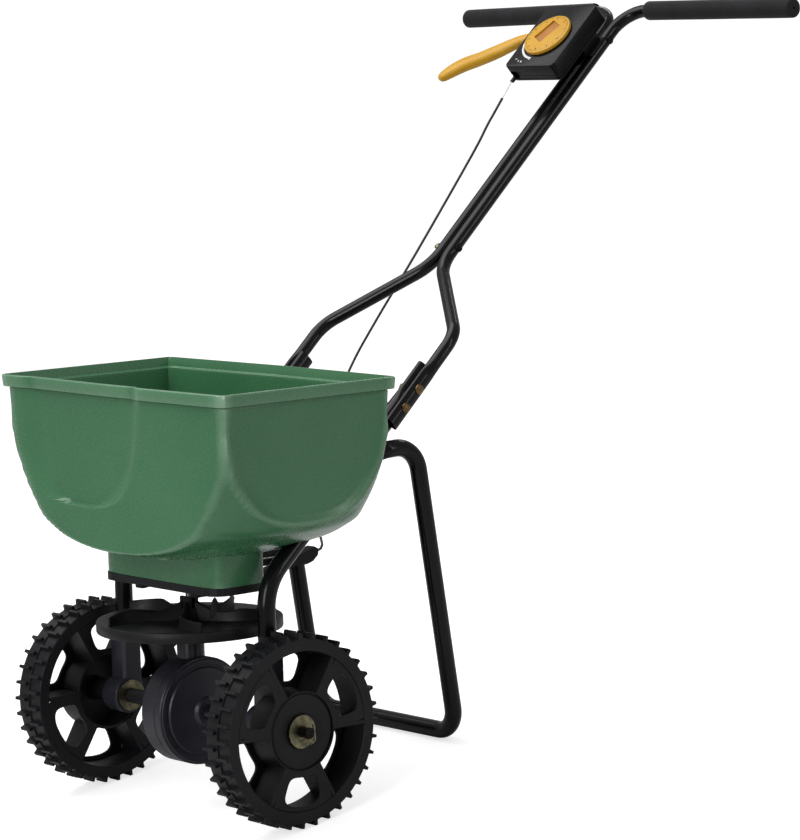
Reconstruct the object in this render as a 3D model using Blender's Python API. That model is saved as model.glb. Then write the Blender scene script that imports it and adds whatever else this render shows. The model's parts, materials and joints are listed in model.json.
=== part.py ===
"""Garden broadcast spreader: hopper on two driven wheels, spinning impeller, tube frame,
T handle with a setting dial, a shut-off lever and a cable to the gate under the hopper."""
import math

import bmesh
import bpy
from mathutils import Matrix, Vector

for old in list(bpy.data.objects):
    bpy.data.objects.remove(old, do_unlink=True)

# ---------------------------------------------------------------- driving sizes (metres)
WHEEL_R = 0.110          # over the lugs
TREAD_R = 0.104
WHEEL_W = 0.042
WHEEL_X = 0.180          # middle of each wheel
LUGS = 36
AXLE_R = 0.0065
FRAME_R = 0.0105
HANDLE_R = 0.0080
STAND_R = 0.0102
WALL = 0.0013            # wall of every steel tube
FOOT_Y = 0.2925          # foot bar of the stand, from the axle
FOOT_Z = -0.057
LEG_X = 0.129
AXLE_Y = -0.36695        # puts the footprint's middle on the origin
GAP = 0.0003
# Everything but the wheels leans back about the axle until the stand's foot bar is down.
FOOT_REACH = math.hypot(FOOT_Y, FOOT_Z)
FOOT_DROP = WHEEL_R - STAND_R * math.cos(math.pi / 10)
LEAN = math.asin(FOOT_DROP / FOOT_REACH) - math.atan2(-FOOT_Z, FOOT_Y)
AXLE = Matrix.Translation((0, AXLE_Y, WHEEL_R))
BODY = AXLE @ Matrix.Rotation(-LEAN, 4, 'X')
# Handle plane: x across, s up along the paired tubes, h out of the plane.
HANDLE_A = Vector((0, 0.395, 0.488))
S_DIR = Vector((0, 0.7328, 0.6804))
H_DIR = Vector((0, -0.6804, 0.7328))
HANDLE = BODY @ Matrix.Translation(HANDLE_A) @ Matrix((
    (1, 0, 0, 0), (0, S_DIR.y, H_DIR.y, 0), (0, S_DIR.z, H_DIR.z, 0), (0, 0, 0, 1)))


# ---------------------------------------------------------------- materials
def material(name, colour, rough, metal=0.0):
    mat = bpy.data.materials.new(name)
    mat.use_nodes = True
    bsdf = mat.node_tree.nodes["Principled BSDF"]
    bsdf.inputs["Base Color"].default_value = (*colour, 1)
    bsdf.inputs["Roughness"].default_value = rough
    bsdf.inputs["Metallic"].default_value = metal
    return mat


LOOKS = {
    "hopper_green": ((0.070, 0.135, 0.085), 0.38, 0.0),
    "black_paint": ((0.012, 0.012, 0.013), 0.35, 0.0),
    "black_plastic": ((0.022, 0.022, 0.025), 0.50, 0.0),
    "grey_plastic": ((0.040, 0.040, 0.042), 0.50, 0.0),
    "foam": ((0.030, 0.030, 0.032), 0.85, 0.0),
    "zinc": ((0.50, 0.49, 0.42), 0.35, 1.0),
    "steel": ((0.55, 0.55, 0.56), 0.30, 1.0),
    "yellow_plastic": ((0.70, 0.36, 0.05), 0.42, 0.0),
    "white_liner": ((0.75, 0.75, 0.74), 0.45, 0.0),
}


# ---------------------------------------------------------------- shape helpers
def node(name, look, verts, faces, basis=BODY, origin=(0, 0, 0), smooth=35.0):
    """One closed body. Its mesh is given in basis space, and its origin goes to origin."""
    mesh = bpy.data.meshes.new(name)
    mesh.from_pydata([Vector(v) - Vector(origin) for v in verts], [], faces)
    bm = bmesh.new()
    bm.from_mesh(mesh)
    bmesh.ops.recalc_face_normals(bm, faces=bm.faces)
    if bm.calc_volume(signed=True) < 0:
        bmesh.ops.reverse_faces(bm, faces=bm.faces)
    bm.to_mesh(mesh)
    bm.free()
    obj = bpy.data.objects.new(name, mesh)
    bpy.context.scene.collection.objects.link(obj)
    obj.matrix_world = basis @ Matrix.Translation(origin)
    mesh.materials.append(material(name + "_" + look, *LOOKS[look]))
    if smooth:
        mesh.shade_smooth()
        mesh.set_sharp_from_angle(angle=math.radians(smooth))
    return obj


def boolean(target, others, operation, smooth=35.0):
    """Bakes a union or a difference into target, and takes the other objects away."""
    bpy.context.view_layer.update()
    for other in others:
        mod = target.modifiers.new(operation.lower(), 'BOOLEAN')
        mod.operation = operation
        mod.solver = 'EXACT'
        mod.object = other
    graph = bpy.context.evaluated_depsgraph_get()
    baked = bpy.data.meshes.new_from_object(target.evaluated_get(graph))
    target.modifiers.clear()
    keep = target.data.materials[0]
    target.data = baked
    bm = bmesh.new()
    bm.from_mesh(baked)
    bmesh.ops.remove_doubles(bm, verts=bm.verts, dist=0.00001)
    bmesh.ops.dissolve_degenerate(bm, edges=bm.edges, dist=0.00001)
    bm.to_mesh(baked)
    bm.free()
    baked.materials.clear()
    baked.materials.append(keep)
    baked.polygons.foreach_set("material_index", [0] * len(baked.polygons))
    baked.shade_smooth()
    baked.set_sharp_from_angle(angle=math.radians(smooth))
    for other in others:
        bpy.data.objects.remove(other, do_unlink=True)
    return target


def join_meshes(parts):
    """Several separate lumps as one vertex and face list, for one union or one cut."""
    verts, faces = [], []
    for part_verts, part_faces in parts:
        base = len(verts)
        verts += part_verts
        faces += [[base + i for i in face] for face in part_faces]
    return verts, faces


def loft(rings, loop=False):
    """Skin over equal rings of points: capped at both ends, or joined up as a loop."""
    count = len(rings[0])
    verts = [v for ring in rings for v in ring]
    faces = []
    last = len(rings) if loop else len(rings) - 1
    for i in range(last):
        a, b = i * count, ((i + 1) % len(rings)) * count
        for j in range(count):
            k = (j + 1) % count
            faces.append([a + j, a + k, b + k, b + j])
    if not loop:
        faces.append(list(range(count))[::-1])
        faces.append([len(verts) - count + j for j in range(count)])
    return verts, faces


def lathe(profile, count, axis='Z', centre=(0, 0, 0), loop=False, turn=0.0):
    """Profile of (radius, height) turned about an axis."""
    rings = []
    for radius, height in profile:
        ring = []
        for j in range(count):
            a = turn + 2 * math.pi * j / count
            c, s = radius * math.cos(a), radius * math.sin(a)
            p = {'X': (height, c, s), 'Y': (c, height, s), 'Z': (c, s, height)}[axis]
            ring.append(Vector(p) + Vector(centre))
        rings.append(ring)
    return loft(rings, loop)


def prism(outline, low, high, axis='X', hole=None):
    """Flat outline pushed along an axis, with an optional hole of as many points."""
    def at(point, height):
        u, v = point
        return Vector({'X': (height, u, v), 'Y': (u, height, v), 'Z': (u, v, height)}[axis])
    if hole is None:
        return loft([[at(p, low) for p in outline], [at(p, high) for p in outline]])
    return loft([[at(p, low) for p in outline], [at(p, high) for p in outline],
                 [at(p, high) for p in hole], [at(p, low) for p in hole]], loop=True)


def block(x0, x1, y0, y1, z0, z1):
    return prism([(x0, y0), (x1, y0), (x1, y1), (x0, y1)], z0, z1, 'Z')


def rounded(x0, x1, y0, y1, radius, steps=3):
    """Rounded rectangle outline."""
    points = []
    corners = [(x1 - radius, y1 - radius, 0), (x0 + radius, y1 - radius, 90),
               (x0 + radius, y0 + radius, 180), (x1 - radius, y0 + radius, 270)]
    for cx, cy, start in corners:
        for i in range(steps + 1):
            a = math.radians(start + 90 * i / steps)
            points.append((cx + radius * math.cos(a), cy + radius * math.sin(a)))
    return points


def fillet_path(points, radii, steps=3):
    """Polyline with its corners rounded, as a tube bender leaves them."""
    path = [Vector(points[0])]
    for i in range(1, len(points) - 1):
        corner = Vector(points[i])
        back = (Vector(points[i - 1]) - corner).normalized()
        ahead = (Vector(points[i + 1]) - corner).normalized()
        half = back.angle(ahead) / 2
        reach = radii[i - 1] / math.tan(half)
        centre = corner + (back + ahead).normalized() * (radii[i - 1] / math.sin(half))
        start = corner + back * reach - centre
        end = corner + ahead * reach - centre
        for k in range(steps + 1):
            way = start.normalized().slerp(end.normalized(), k / steps)
            path.append(centre + way * start.length)
    path.append(Vector(points[-1]))
    return path


def sweep(path, radius, wall=None, sides=10, flat=None, first_up=(0, 0, 1), turn=0.0):
    """Round tube along a path. flat(i) gives the across and up scale of the section there."""
    rings, bores = [], []
    side = None
    for i, point in enumerate(path):
        ahead = path[min(i + 1, len(path) - 1)] - point
        back = point - path[max(i - 1, 0)]
        tangent = (ahead.normalized() + back.normalized()).normalized() \
            if ahead.length and back.length else (ahead + back).normalized()
        if side is None:
            side = tangent.cross(Vector(first_up)).normalized()
        side = (side - tangent * side.dot(tangent)).normalized()
        up = side.cross(tangent)
        across, high = flat(i) if flat else (1.0, 1.0)
        ring, bore = [], []
        for j in range(sides):
            a = turn + 2 * math.pi * j / sides
            c, s = math.cos(a), math.sin(a)
            ring.append(point + side * c * radius * across + up * s * radius * high)
            if wall:
                ring_in = radius - wall
                bore.append(point + side * c * (ring_in - radius * (1 - across))
                            + up * s * (ring_in - radius * (1 - high)))
        rings.append(ring)
        bores.append(bore)
    if wall:
        return loft(rings + bores[::-1], loop=True)
    return loft(rings)


# ---------------------------------------------------------------- wheels
def wheel_mesh(side):
    """Moulded wheel: tread ring, hub, three outer and three inner webs, six ribs, lugs."""
    half = WHEEL_W / 2

    def ring_point(radius, degrees):
        a = math.radians(degrees)
        return (radius * math.cos(a), radius * math.sin(a))
    ring = lathe([(TREAD_R, -half), (TREAD_R, half), (0.0905, half), (0.0890, 0.0),
                  (0.0905, -half)], 72, 'X', loop=True, turn=math.radians(2.5))
    hub = lathe([(0.0070, 0.0180), (0.0210, 0.0180), (0.0415, 0.0200), (0.0450, half),
                 (0.0455, -0.0175), (0.0425, -0.0175), (0.0425, 0.0165), (0.0130, 0.0150),
                 (0.0130, -half), (0.0070, -half)], 22, 'X', loop=True,
                turn=math.radians(-10))
    parts = []
    for k in range(3):
        for outer, middle in ((True, -100 + 120 * k), (False, -40 + 120 * k)):
            low, high = (0.0165, 0.0203) if outer else (-0.0203, -0.0165)
            span, win_lo, win_hi, win_span = (27.5, 0.0520, 0.0840, 20) if outer \
                else (27.5, 0.0520, 0.0850, 21)
            edge, hole = [], []
            arc = [-1, -0.5, 0, 0.5, 1]
            for f in arc:
                edge.append(ring_point(0.0900, middle + span * f))
                bow = 0.0025 * abs(f) ** 3
                hole.append(ring_point(win_hi - bow, middle + win_span * f))
            for f in arc[::-1]:
                edge.append(ring_point(0.0450, middle + span * 1.18 * f))
                bow = 0.0025 * abs(f) ** 3
                hole.append(ring_point(win_lo + bow, middle + win_span * 0.92 * f))
            parts.append(prism(edge, low, high, 'X', hole))
    ribs = []
    for k in range(6):
        a = math.radians(60 * k - 10)
        out, across = Vector((math.cos(a), math.sin(a))), Vector((-math.sin(a), math.cos(a)))
        corners = [out * r + across * t for r, t in
                   ((0.0440, -0.0028), (0.0900, -0.0024), (0.0900, 0.0024), (0.0440, 0.0028))]
        ribs.append(prism([tuple(c) for c in corners], -0.0206, 0.0206, 'X'))
    lugs = []
    for row, (x0, x1) in enumerate(((0.0025, half - 0.0006), (-half + 0.0006, -0.0025))):
        for k in range(LUGS):
            a = math.radians(-90 + (k + row * 0.5) * 360 / LUGS)
            out, across = Vector((math.cos(a), math.sin(a))), Vector((-math.sin(a), math.cos(a)))
            foot = 0.0029
            tip = 0.0018
            corners = [out * r + across * t for r, t in
                       ((TREAD_R - 0.001, -foot), (WHEEL_R, -tip), (WHEEL_R, tip),
                        (TREAD_R - 0.001, foot))]
            lugs.append(prism([tuple(c) for c in corners], x0, x1, 'X'))

    def out_side(mesh):
        verts, faces = mesh
        return [Vector((v[0] * side + WHEEL_X * side, v[1], v[2])) for v in verts], faces
    return [out_side(join_meshes(group)) for group in ([ring], [hub], parts, ribs, lugs)]


for side, label in ((-1, "left"), (1, "right")):
    centre = (WHEEL_X * side, 0, 0)
    pieces = wheel_mesh(side)
    wheel = node("wheel_" + label, "black_plastic", *pieces[0], AXLE, centre)
    for extra in pieces[1:]:
        tool = node("tool", "black_plastic", *extra, AXLE, centre)
        boolean(wheel, [tool], 'UNION')

# ---------------------------------------------------------------- axle, spacers, washers, pins
AXLE_END = 0.2145
node("axle", "steel", *lathe([(AXLE_R - 0.001, -AXLE_END), (AXLE_R, -AXLE_END + 0.001),
                              (AXLE_R, AXLE_END - 0.001), (AXLE_R - 0.001, AXLE_END)],
                             20, 'X'), AXLE)
PIN_X = 0.2095
hole = node("tool", "steel", *lathe([(0.0016, -0.02), (0.0016, 0.02)], 10, 'Z',
                                    (PIN_X, 0, 0)), AXLE)
hole_b = node("tool", "steel", *lathe([(0.0016, -0.02), (0.0016, 0.02)], 10, 'Z',
                                      (-PIN_X, 0, 0)), AXLE)
boolean(bpy.data.objects["axle"], [hole, hole_b], 'DIFFERENCE')
BLOCK_X = 0.1350
for side, label in ((-1, "left"), (1, "right")):
    def ringed(name, look, inner, outer, x0, x1, sides=18, basis=BODY):
        lo, hi = sorted((x0 * side, x1 * side))
        return node(name + "_" + label, look,
                    *lathe([(inner, lo), (outer, lo), (outer, hi), (inner, hi)], sides, 'X',
                           loop=True), basis)
    ringed("wheel_washer", "zinc", 0.0068, 0.0190, 0.1984, 0.2000, 18, AXLE)
    ringed("block_washer", "zinc", 0.0068, 0.0185, 0.1186, 0.1202)
    ringed("wheel_spacer", "black_plastic", 0.0068, 0.0115, 0.1496, 0.1586, 16)
    pin_path = fillet_path([(PIN_X * side, 0, 0.0105), (PIN_X * side, 0, -0.0125),
                            (PIN_X * side, 0.0095, -0.0125), (PIN_X * side, 0.0095, 0.0080)],
                           [0.003, 0.003], 3)
    node("cotter_" + label, "zinc", *sweep(pin_path, 0.0012, None, 8, first_up=(1, 0, 0)), AXLE)
ringed_verts = lathe([(0.0068, 0.0325), (0.0088, 0.0325), (0.0088, 0.1183), (0.0068, 0.1183)],
                     16, 'X', loop=True)
node("axle_sleeve_right", "black_plastic", *ringed_verts)
ringed_verts = lathe([(0.0068, -0.1183), (0.0088, -0.1183), (0.0088, -0.0200), (0.0068, -0.0200)],
                     16, 'X', loop=True)
node("axle_sleeve_left", "black_plastic", *ringed_verts)

# ---------------------------------------------------------------- axle blocks and frame tubes
LEG_Y = 0.006
SOCKET_TOP = 0.074
for side, label in ((-1, "left"), (1, "right")):
    x = BLOCK_X * side
    post = node("axle_block_" + label, "black_plastic",
                *prism(rounded(x - 0.0135, x + 0.0135, LEG_Y - 0.0135, LEG_Y + 0.0135, 0.003, 1),
                       0.004, SOCKET_TOP, 'Z'))
    lo, hi = x - 0.0142, x + 0.0142
    boss = node("tool", "black_plastic", *lathe([(0.0205, lo), (0.0215, lo + 0.001),
                                                 (0.0215, hi - 0.001), (0.0205, hi)], 28, 'X'))
    boolean(post, [boss], 'UNION')
    bore = node("tool", "black_plastic", *lathe([(0.0068, x - 0.03), (0.0068, x + 0.03)], 20, 'X'))
    socket = node("tool", "black_plastic",
                  *lathe([(FRAME_R + 0.0006, 0.0235), (FRAME_R + 0.0006, 0.10)], 16,
                         'Z', (x, LEG_Y, 0), turn=math.pi / 16))
    boolean(post, [bore, socket], 'DIFFERENCE')

FRAME_TOP = [(0.1090, 0.2050, 0.3145), (0.1090, 0.2750, 0.3795)]
for side, label in ((-1, "left"), (1, "right")):
    route = [(BLOCK_X * side, LEG_Y, 0.024), (BLOCK_X * side, LEG_Y, 0.158),
             (FRAME_TOP[0][0] * side,) + FRAME_TOP[0][1:],
             (FRAME_TOP[1][0] * side,) + FRAME_TOP[1][1:]]
    path = fillet_path(route, [0.060, 0.100], 3)
    last = len(path) - 1

    def press(i):
        return (0.60, 1.06) if i == last else ((0.62, 1.05) if i == last - 1 else (1.0, 1.0))
    node("frame_tube_" + label, "black_paint",
         *sweep(path, FRAME_R, WALL, 10, press, (0, 1, 0), math.pi / 10))

# ---------------------------------------------------------------- stand
BEND_Z = 0.2930
BEND_Y = FOOT_Y - (BEND_Z - FOOT_Z) * math.tan(LEAN)   # the legs stand upright when parked
stand_route = [(-LEG_X, 0.1620, 0.2900), (-LEG_X, BEND_Y, BEND_Z), (-LEG_X, FOOT_Y, FOOT_Z),
               (LEG_X, FOOT_Y, FOOT_Z), (LEG_X, BEND_Y, BEND_Z), (LEG_X, 0.1620, 0.2900)]
stand_path = fillet_path(stand_route, [0.034, 0.032, 0.032, 0.034], 3)
for end, nxt in ((0, 1), (len(stand_path) - 1, len(stand_path) - 2)):
    toward = (stand_path[nxt] - stand_path[end]).normalized()
    extra = stand_path[end] + toward * 0.030
    stand_path.insert(1 if end == 0 else len(stand_path) - 1, extra)
count_stand = len(stand_path)


def stand_press(i):
    return (1.0, 1.0) if 1 < i < count_stand - 2 else (0.48, 1.12)


STAND_TURN = math.pi / 10
node("stand", "black_paint", *sweep(stand_path, STAND_R, WALL, 10, stand_press,
                                    (0, 0, 1), STAND_TURN))

# ---------------------------------------------------------------- handle tubes and grips
PAIR_X = 0.0084
SPLIT_X = 0.1220
GRIP_END = 0.286
HANDLE_TOP = (0.7200, 0.7898)
for side, label in ((-1, "left"), (1, "right")):
    route = [(SPLIT_X * side, 0.2095, 0.3190), (SPLIT_X * side, 0.3125, 0.4150),
             (PAIR_X * side, 0.3950, 0.4880), (PAIR_X * side,) + HANDLE_TOP,
             (GRIP_END * side, 0.7220, 0.7868)]
    path = fillet_path(route, [0.045, 0.055, 0.036], 3)
    toward = (path[1] - path[0]).normalized()
    path.insert(1, path[0] + toward * 0.085)

    def press_low(i):
        return (0.66, 1.22) if i < 2 else (1.0, 1.0)
    node("handle_tube_" + label, "black_paint",
         *sweep(path, HANDLE_R, WALL, 10, press_low, (0, 1, 0), math.pi / 10))
    lo, hi = sorted((0.048 * side, GRIP_END * side))
    inner = HANDLE_R + GAP

    def at(x):
        f = (abs(x) - PAIR_X) / (GRIP_END - PAIR_X)
        return Vector((0, HANDLE_TOP[0] + (0.7220 - HANDLE_TOP[0]) * f,
                       HANDLE_TOP[1] + (0.7868 - HANDLE_TOP[1]) * f))
    grip = []
    for radius, x in ((inner, 0.048), (0.0112, 0.048), (0.0120, 0.0495), (0.0120, 0.2900),
                      (0.0100, 0.2925), (0.0020, 0.2925), (0.0020, 0.2870), (inner, 0.2868)):
        grip.append([Vector((x * side, 0, 0)) + at(x)
                     + Vector((0, radius * math.cos(2 * math.pi * j / 16),
                               radius * math.sin(2 * math.pi * j / 16))) for j in range(16)])
    node("grip_" + label, "foam", *loft(grip, loop=True))

# ---------------------------------------------------------------- hopper
HOPPER_Y = 0.0192
RIM_Z = 0.386
SIDE_X = 0.2010
FACE_Y = 0.1170
SKIN_T = 0.0030
NECK = (0.1087, 0.0394)
NECK_Y = -0.0047
FLARE_X, FLARE_Y = 0.0071, 0.0031           # how far the walls lean out by the rim
BANDS = [  # height, half width, half depth, squareness of the round bowl
    (0.1740, 0.0300, 0.0200, 2.2), (0.1790, 0.0560, 0.0460, 2.2), (0.1840, 0.0800, 0.0740, 2.2),
    (0.1900, 0.1060, 0.1080, 2.2), (0.1970, 0.1300, 0.1300, 2.3), (0.2050, 0.1530, 0.1440, 2.4),
    (0.2150, 0.1750, 0.1530, 2.4), (0.2250, 0.1940, 0.1570, 2.4), (0.2400, 0.2060, 0.1575, 2.5),
    (0.2550, 0.2130, 0.1575, 2.7), (0.2900, 0.2190, 0.1570, 3.4), (0.3300, 0.2200, 0.1565, 4.5),
    (0.3720, 0.2200, 0.1560, 8.6)]


def neck_reach(across, along, inset):
    """Distance from the bowl's middle to the neck's wall, in one direction."""
    low, high = 0.0, 0.2
    for _ in range(40):
        r = (low + high) / 2
        x, y = abs(across) * r, abs(along * r + HOPPER_Y - NECK_Y)
        if (x / (NECK[0] - inset)) ** 7 + (y / (NECK[1] - inset)) ** 7 < 1:
            low = r
        else:
            high = r
    return low


def hopper_ring(height, half_x, half_y, power, inset=0.0, necked=True, count=40):
    """Bowl section cut flat by the side panels and by the slightly bowed front and back."""
    ring = []
    for j in range(count):
        a = 2 * math.pi * (j + 0.5) / count
        c, s = math.cos(a) * SIDE_X, math.sin(a) * FACE_Y
        n = math.hypot(c, s)
        c, s = c / n, s / n
        u, v = max(abs(c), 1e-6), max(abs(s), 1e-6)
        r = (abs(u / (half_x - inset)) ** power + abs(v / (half_y - inset)) ** power) ** (-1 / power)
        if necked and height < 0.20:
            r = max(r, neck_reach(c, s, inset))
        bow = 0.006 * max(0.0, 1 - u / v * FACE_Y / SIDE_X)
        flare = min(1.0, max(0.0, (height - 0.288) / (RIM_Z - 0.288)))
        r = min(r, (SIDE_X + FLARE_X * flare - inset) / u,
                (FACE_Y + FLARE_Y * flare + bow - inset) / v)
        ring.append(Vector((r * c, r * s + HOPPER_Y, height)))
    return ring


def tube_channel(clear):
    """Upright slot that follows a frame tube, open below, for the moulded channel round it."""
    rings = []
    for x, y, z in ((BLOCK_X, -0.030, 0.140), (BLOCK_X, LEG_Y - 0.002, 0.160),
                    (BLOCK_X - 0.0005, 0.014, 0.171), (0.1310, 0.0350, 0.1865),
                    (0.1200, 0.1170, 0.2480), (0.1090, 0.1750, 0.2950)):
        top_z = z + (FRAME_R + clear) * 1.28
        half = FRAME_R + clear
        rings.append([Vector((x - half, y, 0.10)), Vector((x + half, y, 0.10)),
                      Vector((x + half, y, top_z)), Vector((x - half, y, top_z))])
    return rings


top = BANDS[-1]
solid = [hopper_ring(0.1556, 0.02, 0.02, 2.0), hopper_ring(0.1730, 0.02, 0.02, 2.0)]
solid += [hopper_ring(*band) for band in BANDS]
for height, grow in ((0.3722, 0.0050), (RIM_Z - 0.001, 0.0055), (RIM_Z, 0.0045)):
    solid.append(hopper_ring(height, top[1] + grow, top[2] + grow, top[3], 0.0))
    solid[-1] = [Vector((p.x + math.copysign(min(grow, abs(p.x)), p.x),
                         p.y + math.copysign(min(grow, abs(p.y - HOPPER_Y)), p.y - HOPPER_Y), p.z))
                 for p in solid[-1]]
cavity = [hopper_ring(0.1500, 0.02, 0.02, 2.0, SKIN_T), hopper_ring(0.1790, 0.02, 0.02, 2.0, SKIN_T)]
cavity += [hopper_ring(height + 0.0035, a, b, p, SKIN_T) for height, a, b, p in BANDS[2:-2]]
cavity += [hopper_ring(0.3720, top[1], top[2], top[3], SKIN_T),
           hopper_ring(0.4000, top[1], top[2], top[3], SKIN_T)]
hopper = node("hopper", "hopper_green", *loft(solid), smooth=40.0)
room = node("tool", "hopper_green", *loft(cavity))
for mirror in (1, -1):
    for owner, clear in ((hopper, 0.0020), (room, 0.0050)):
        rings = [[Vector((p.x * mirror, p.y, p.z)) for p in ring] for ring in tube_channel(clear)]
        boolean(owner, [node("tool", "hopper_green", *loft(rings))], 'DIFFERENCE', 40.0)
boolean(hopper, [room], 'DIFFERENCE', 40.0)

# ---------------------------------------------------------------- base plate, gate and agitator
PLATE_LO, PLATE_HI = 0.1465, 0.1553
plate = node("base_plate", "black_plastic",
             *prism(rounded(-0.1100, 0.1100, -0.0455, 0.0360, 0.022, 4), PLATE_LO, PLATE_HI, 'Z'))
rails = []
for side in (-1, 1):
    lo, hi = sorted((0.0508 * side, 0.0580 * side))
    rails.append(block(lo, hi, -0.0330, 0.0345, 0.1400, PLATE_LO + 0.001))
    lo, hi = sorted((0.0460 * side, 0.0575 * side))
    rails.append(block(lo, hi, -0.0325, 0.0340, 0.1395, 0.1425))
rail_tools = [node("tool", "black_plastic", *rail) for rail in rails]
tongue = node("tool", "black_plastic", *block(-0.0450, -0.0250, 0.0300, 0.1500, 0.1475, 0.1530))
lug = node("tool", "black_plastic", *block(-0.0455, -0.0040, 0.1440, 0.1505, 0.1470, 0.1680))
boolean(plate, rail_tools + [tongue, lug], 'UNION')
cuts = [node("tool", "black_plastic", *lathe([(0.0046, 0.13), (0.0046, 0.17)], 16, 'Z'))]
OUTLETS = (-0.0400, -0.0180, 0.0180, 0.0400)
for x in OUTLETS:
    cuts.append(node("tool", "black_plastic",
                     *prism(rounded(x - 0.008, x + 0.008, -0.0270, -0.0130, 0.004, 2),
                            0.13, 0.17, 'Z')))
cuts.append(node("tool", "black_plastic", *lathe([(0.0011, 0.13), (0.0011, 0.17)], 10, 'Y',
                                                 (-0.0120, 0, 0.1590))))
boolean(plate, cuts, 'DIFFERENCE')

GATE_TRAVEL = 0.020
gate_outline = [(-0.0500, -0.0310), (0.0500, -0.0310), (0.0500, 0.0330), (0.0300, 0.0330),
                (0.0300, 0.1000), (-0.0200, 0.1000), (-0.0200, 0.0330), (-0.0500, 0.0330)]
gate = node("gate_plate", "zinc", *prism(gate_outline, 0.1432, 0.1450, 'Z'))
gate_slot = node("tool", "zinc", *prism(rounded(-0.0065, 0.0065, -0.0275, 0.0065, 0.006, 3),
                                        0.13, 0.16, 'Z'))
boolean(gate, [gate_slot], 'DIFFERENCE')

arm = node("gate_arm", "black_plastic",
           *prism([(0.0740, 0.1453), (0.0980, 0.1453), (0.1180, 0.1475), (0.1450, 0.1530),
                   (0.1560, 0.1515), (0.1665, 0.1545), (0.1740, 0.1610), (0.1750, 0.1680),
                   (0.1690, 0.1715), (0.1600, 0.1690), (0.1500, 0.1655), (0.1360, 0.1625),
                   (0.1100, 0.1555), (0.0900, 0.1520), (0.0740, 0.1510)], 0.0120, 0.0250, 'X'))
post = node("gate_post", "black_plastic",
            *prism(rounded(-0.0165, -0.0075, 0.0850, 0.0970, 0.002, 2), 0.1453, 0.1640, 'Z'))
bore = node("tool", "black_plastic", *lathe([(0.0011, 0.05), (0.0011, 0.12)], 10, 'Y',
                                            (-0.0120, 0, 0.1590)))
boolean(post, [bore], 'DIFFERENCE')
agit = node("agitator", "steel",
            *prism([(-0.0300, -0.0040), (-0.0060, -0.0060), (0.0060, -0.0060), (0.0300, -0.0040),
                    (0.0300, 0.0040), (0.0060, 0.0060), (-0.0060, 0.0060), (-0.0300, 0.0040)],
                   0.1620, 0.1645, 'Z'))
tips = [node("tool", "steel", *block(0.0270, 0.0300, -0.0035, 0.0035, 0.1622, 0.1740)),
        node("tool", "steel", *block(-0.0300, -0.0270, -0.0035, 0.0035, 0.1622, 0.1740))]
boolean(agit, tips, 'UNION')
bore = node("tool", "steel", *lathe([(0.0043, 0.15), (0.0043, 0.18)], 16, 'Z'))
boolean(agit, [bore], 'DIFFERENCE')

# ---------------------------------------------------------------- impeller and its shaft
IMP_R = 0.1080
node("impeller_shaft", "steel", *lathe([(0.0030, 0.0365), (0.0040, 0.0375), (0.0040, 0.1730),
                                        (0.0030, 0.1745)], 16, 'Z'))
disc = node("impeller", "grey_plastic",
            *lathe([(0.0043, 0.0885), (0.0150, 0.0885), (0.0160, 0.0990), (0.1055, 0.1020),
                    (0.1062, 0.0945), (IMP_R, 0.0945), (IMP_R, 0.1075), (0.1040, 0.1082),
                    (0.0170, 0.1040), (0.0120, 0.1180), (0.0085, 0.1310),
                    (0.0043, 0.1310)], 32, 'Z', loop=True), smooth=30.0)
fins = []
FINS = 5
for k in range(FINS):
    base_a = math.radians(18 + 360 / FINS * k)
    left, right = [], []
    steps = 4
    for i in range(steps + 1):
        f = i / steps
        r = 0.0080 + f * 0.0925
        a = base_a + 0.42 * f * f
        mid = Vector((r * math.cos(a), r * math.sin(a)))
        across = Vector((-math.sin(a + 0.4 * f), math.cos(a + 0.4 * f))) * (0.0014 + 0.0010 * (1 - f))
        tall = 0.1250 - 0.0095 * f - 0.0060 * math.sin(math.pi * min(1, f * 1.6))
        left.append((mid - across, tall))
        right.append((mid + across, tall))
    rings = []
    for (p, tall), (q, _) in zip(left, right):
        rings.append([Vector((p.x, p.y, 0.1045)), Vector((q.x, q.y, 0.1045)),
                      Vector((q.x, q.y, tall)), Vector((p.x, p.y, tall))])
    fins.append(node("tool", "grey_plastic", *loft(rings)))
boolean(disc, fins, 'UNION', 30.0)

# ---------------------------------------------------------------- bevel gears in their case
GEAR_TEETH = 32
PINION_TEETH = 8
GEAR_R = 0.0480
PINION_R = GEAR_R * PINION_TEETH / GEAR_TEETH
CONE = math.hypot(GEAR_R, PINION_R)
FACE = 0.0070


def bevel(teeth, cone_angle, tip_share, root_share, addendum, dedendum, back, offset=0.0):
    """Straight bevel wheel about +Z with its apex at the origin: root cone with teeth on it."""
    rings = []
    for scale in (1.0, (CONE - FACE) / CONE):
        ring = []
        for k in range(teeth):
            for share, lift in ((-root_share, -dedendum), (-tip_share, addendum),
                                (tip_share, addendum), (root_share, -dedendum)):
                a = 2 * math.pi * (k + offset + share) / teeth
                radial = Vector((math.cos(a), math.sin(a), 0))
                p = (Vector((0, 0, 1)) * math.cos(cone_angle) + radial * math.sin(cone_angle)) \
                    * CONE * scale
                p += (radial * math.cos(cone_angle) - Vector((0, 0, 1)) * math.sin(cone_angle)) \
                    * lift * scale
                ring.append(p)
        rings.append(ring)
    outside, inside = rings
    behind = [Vector((p.x, p.y, 0)).normalized() * (math.hypot(p.x, p.y) * (back[0] or 1))
              + Vector((0, 0, back[1])) for p in outside]
    bore_hi = [Vector((p.x, p.y, 0)).normalized() * back[2] + Vector((0, 0, back[1]))
               for p in outside]
    bore_lo = [Vector((p.x, p.y, 0)).normalized() * back[2] + Vector((0, 0, back[3]))
               for p in outside]
    return loft([bore_lo, inside, outside, bore_hi] if back[0] is None
                else [bore_lo, inside, outside, behind, bore_hi], loop=True)


def turned(mesh, matrix):
    verts, faces = mesh
    return [matrix @ Vector(v) for v in verts], faces


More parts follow.
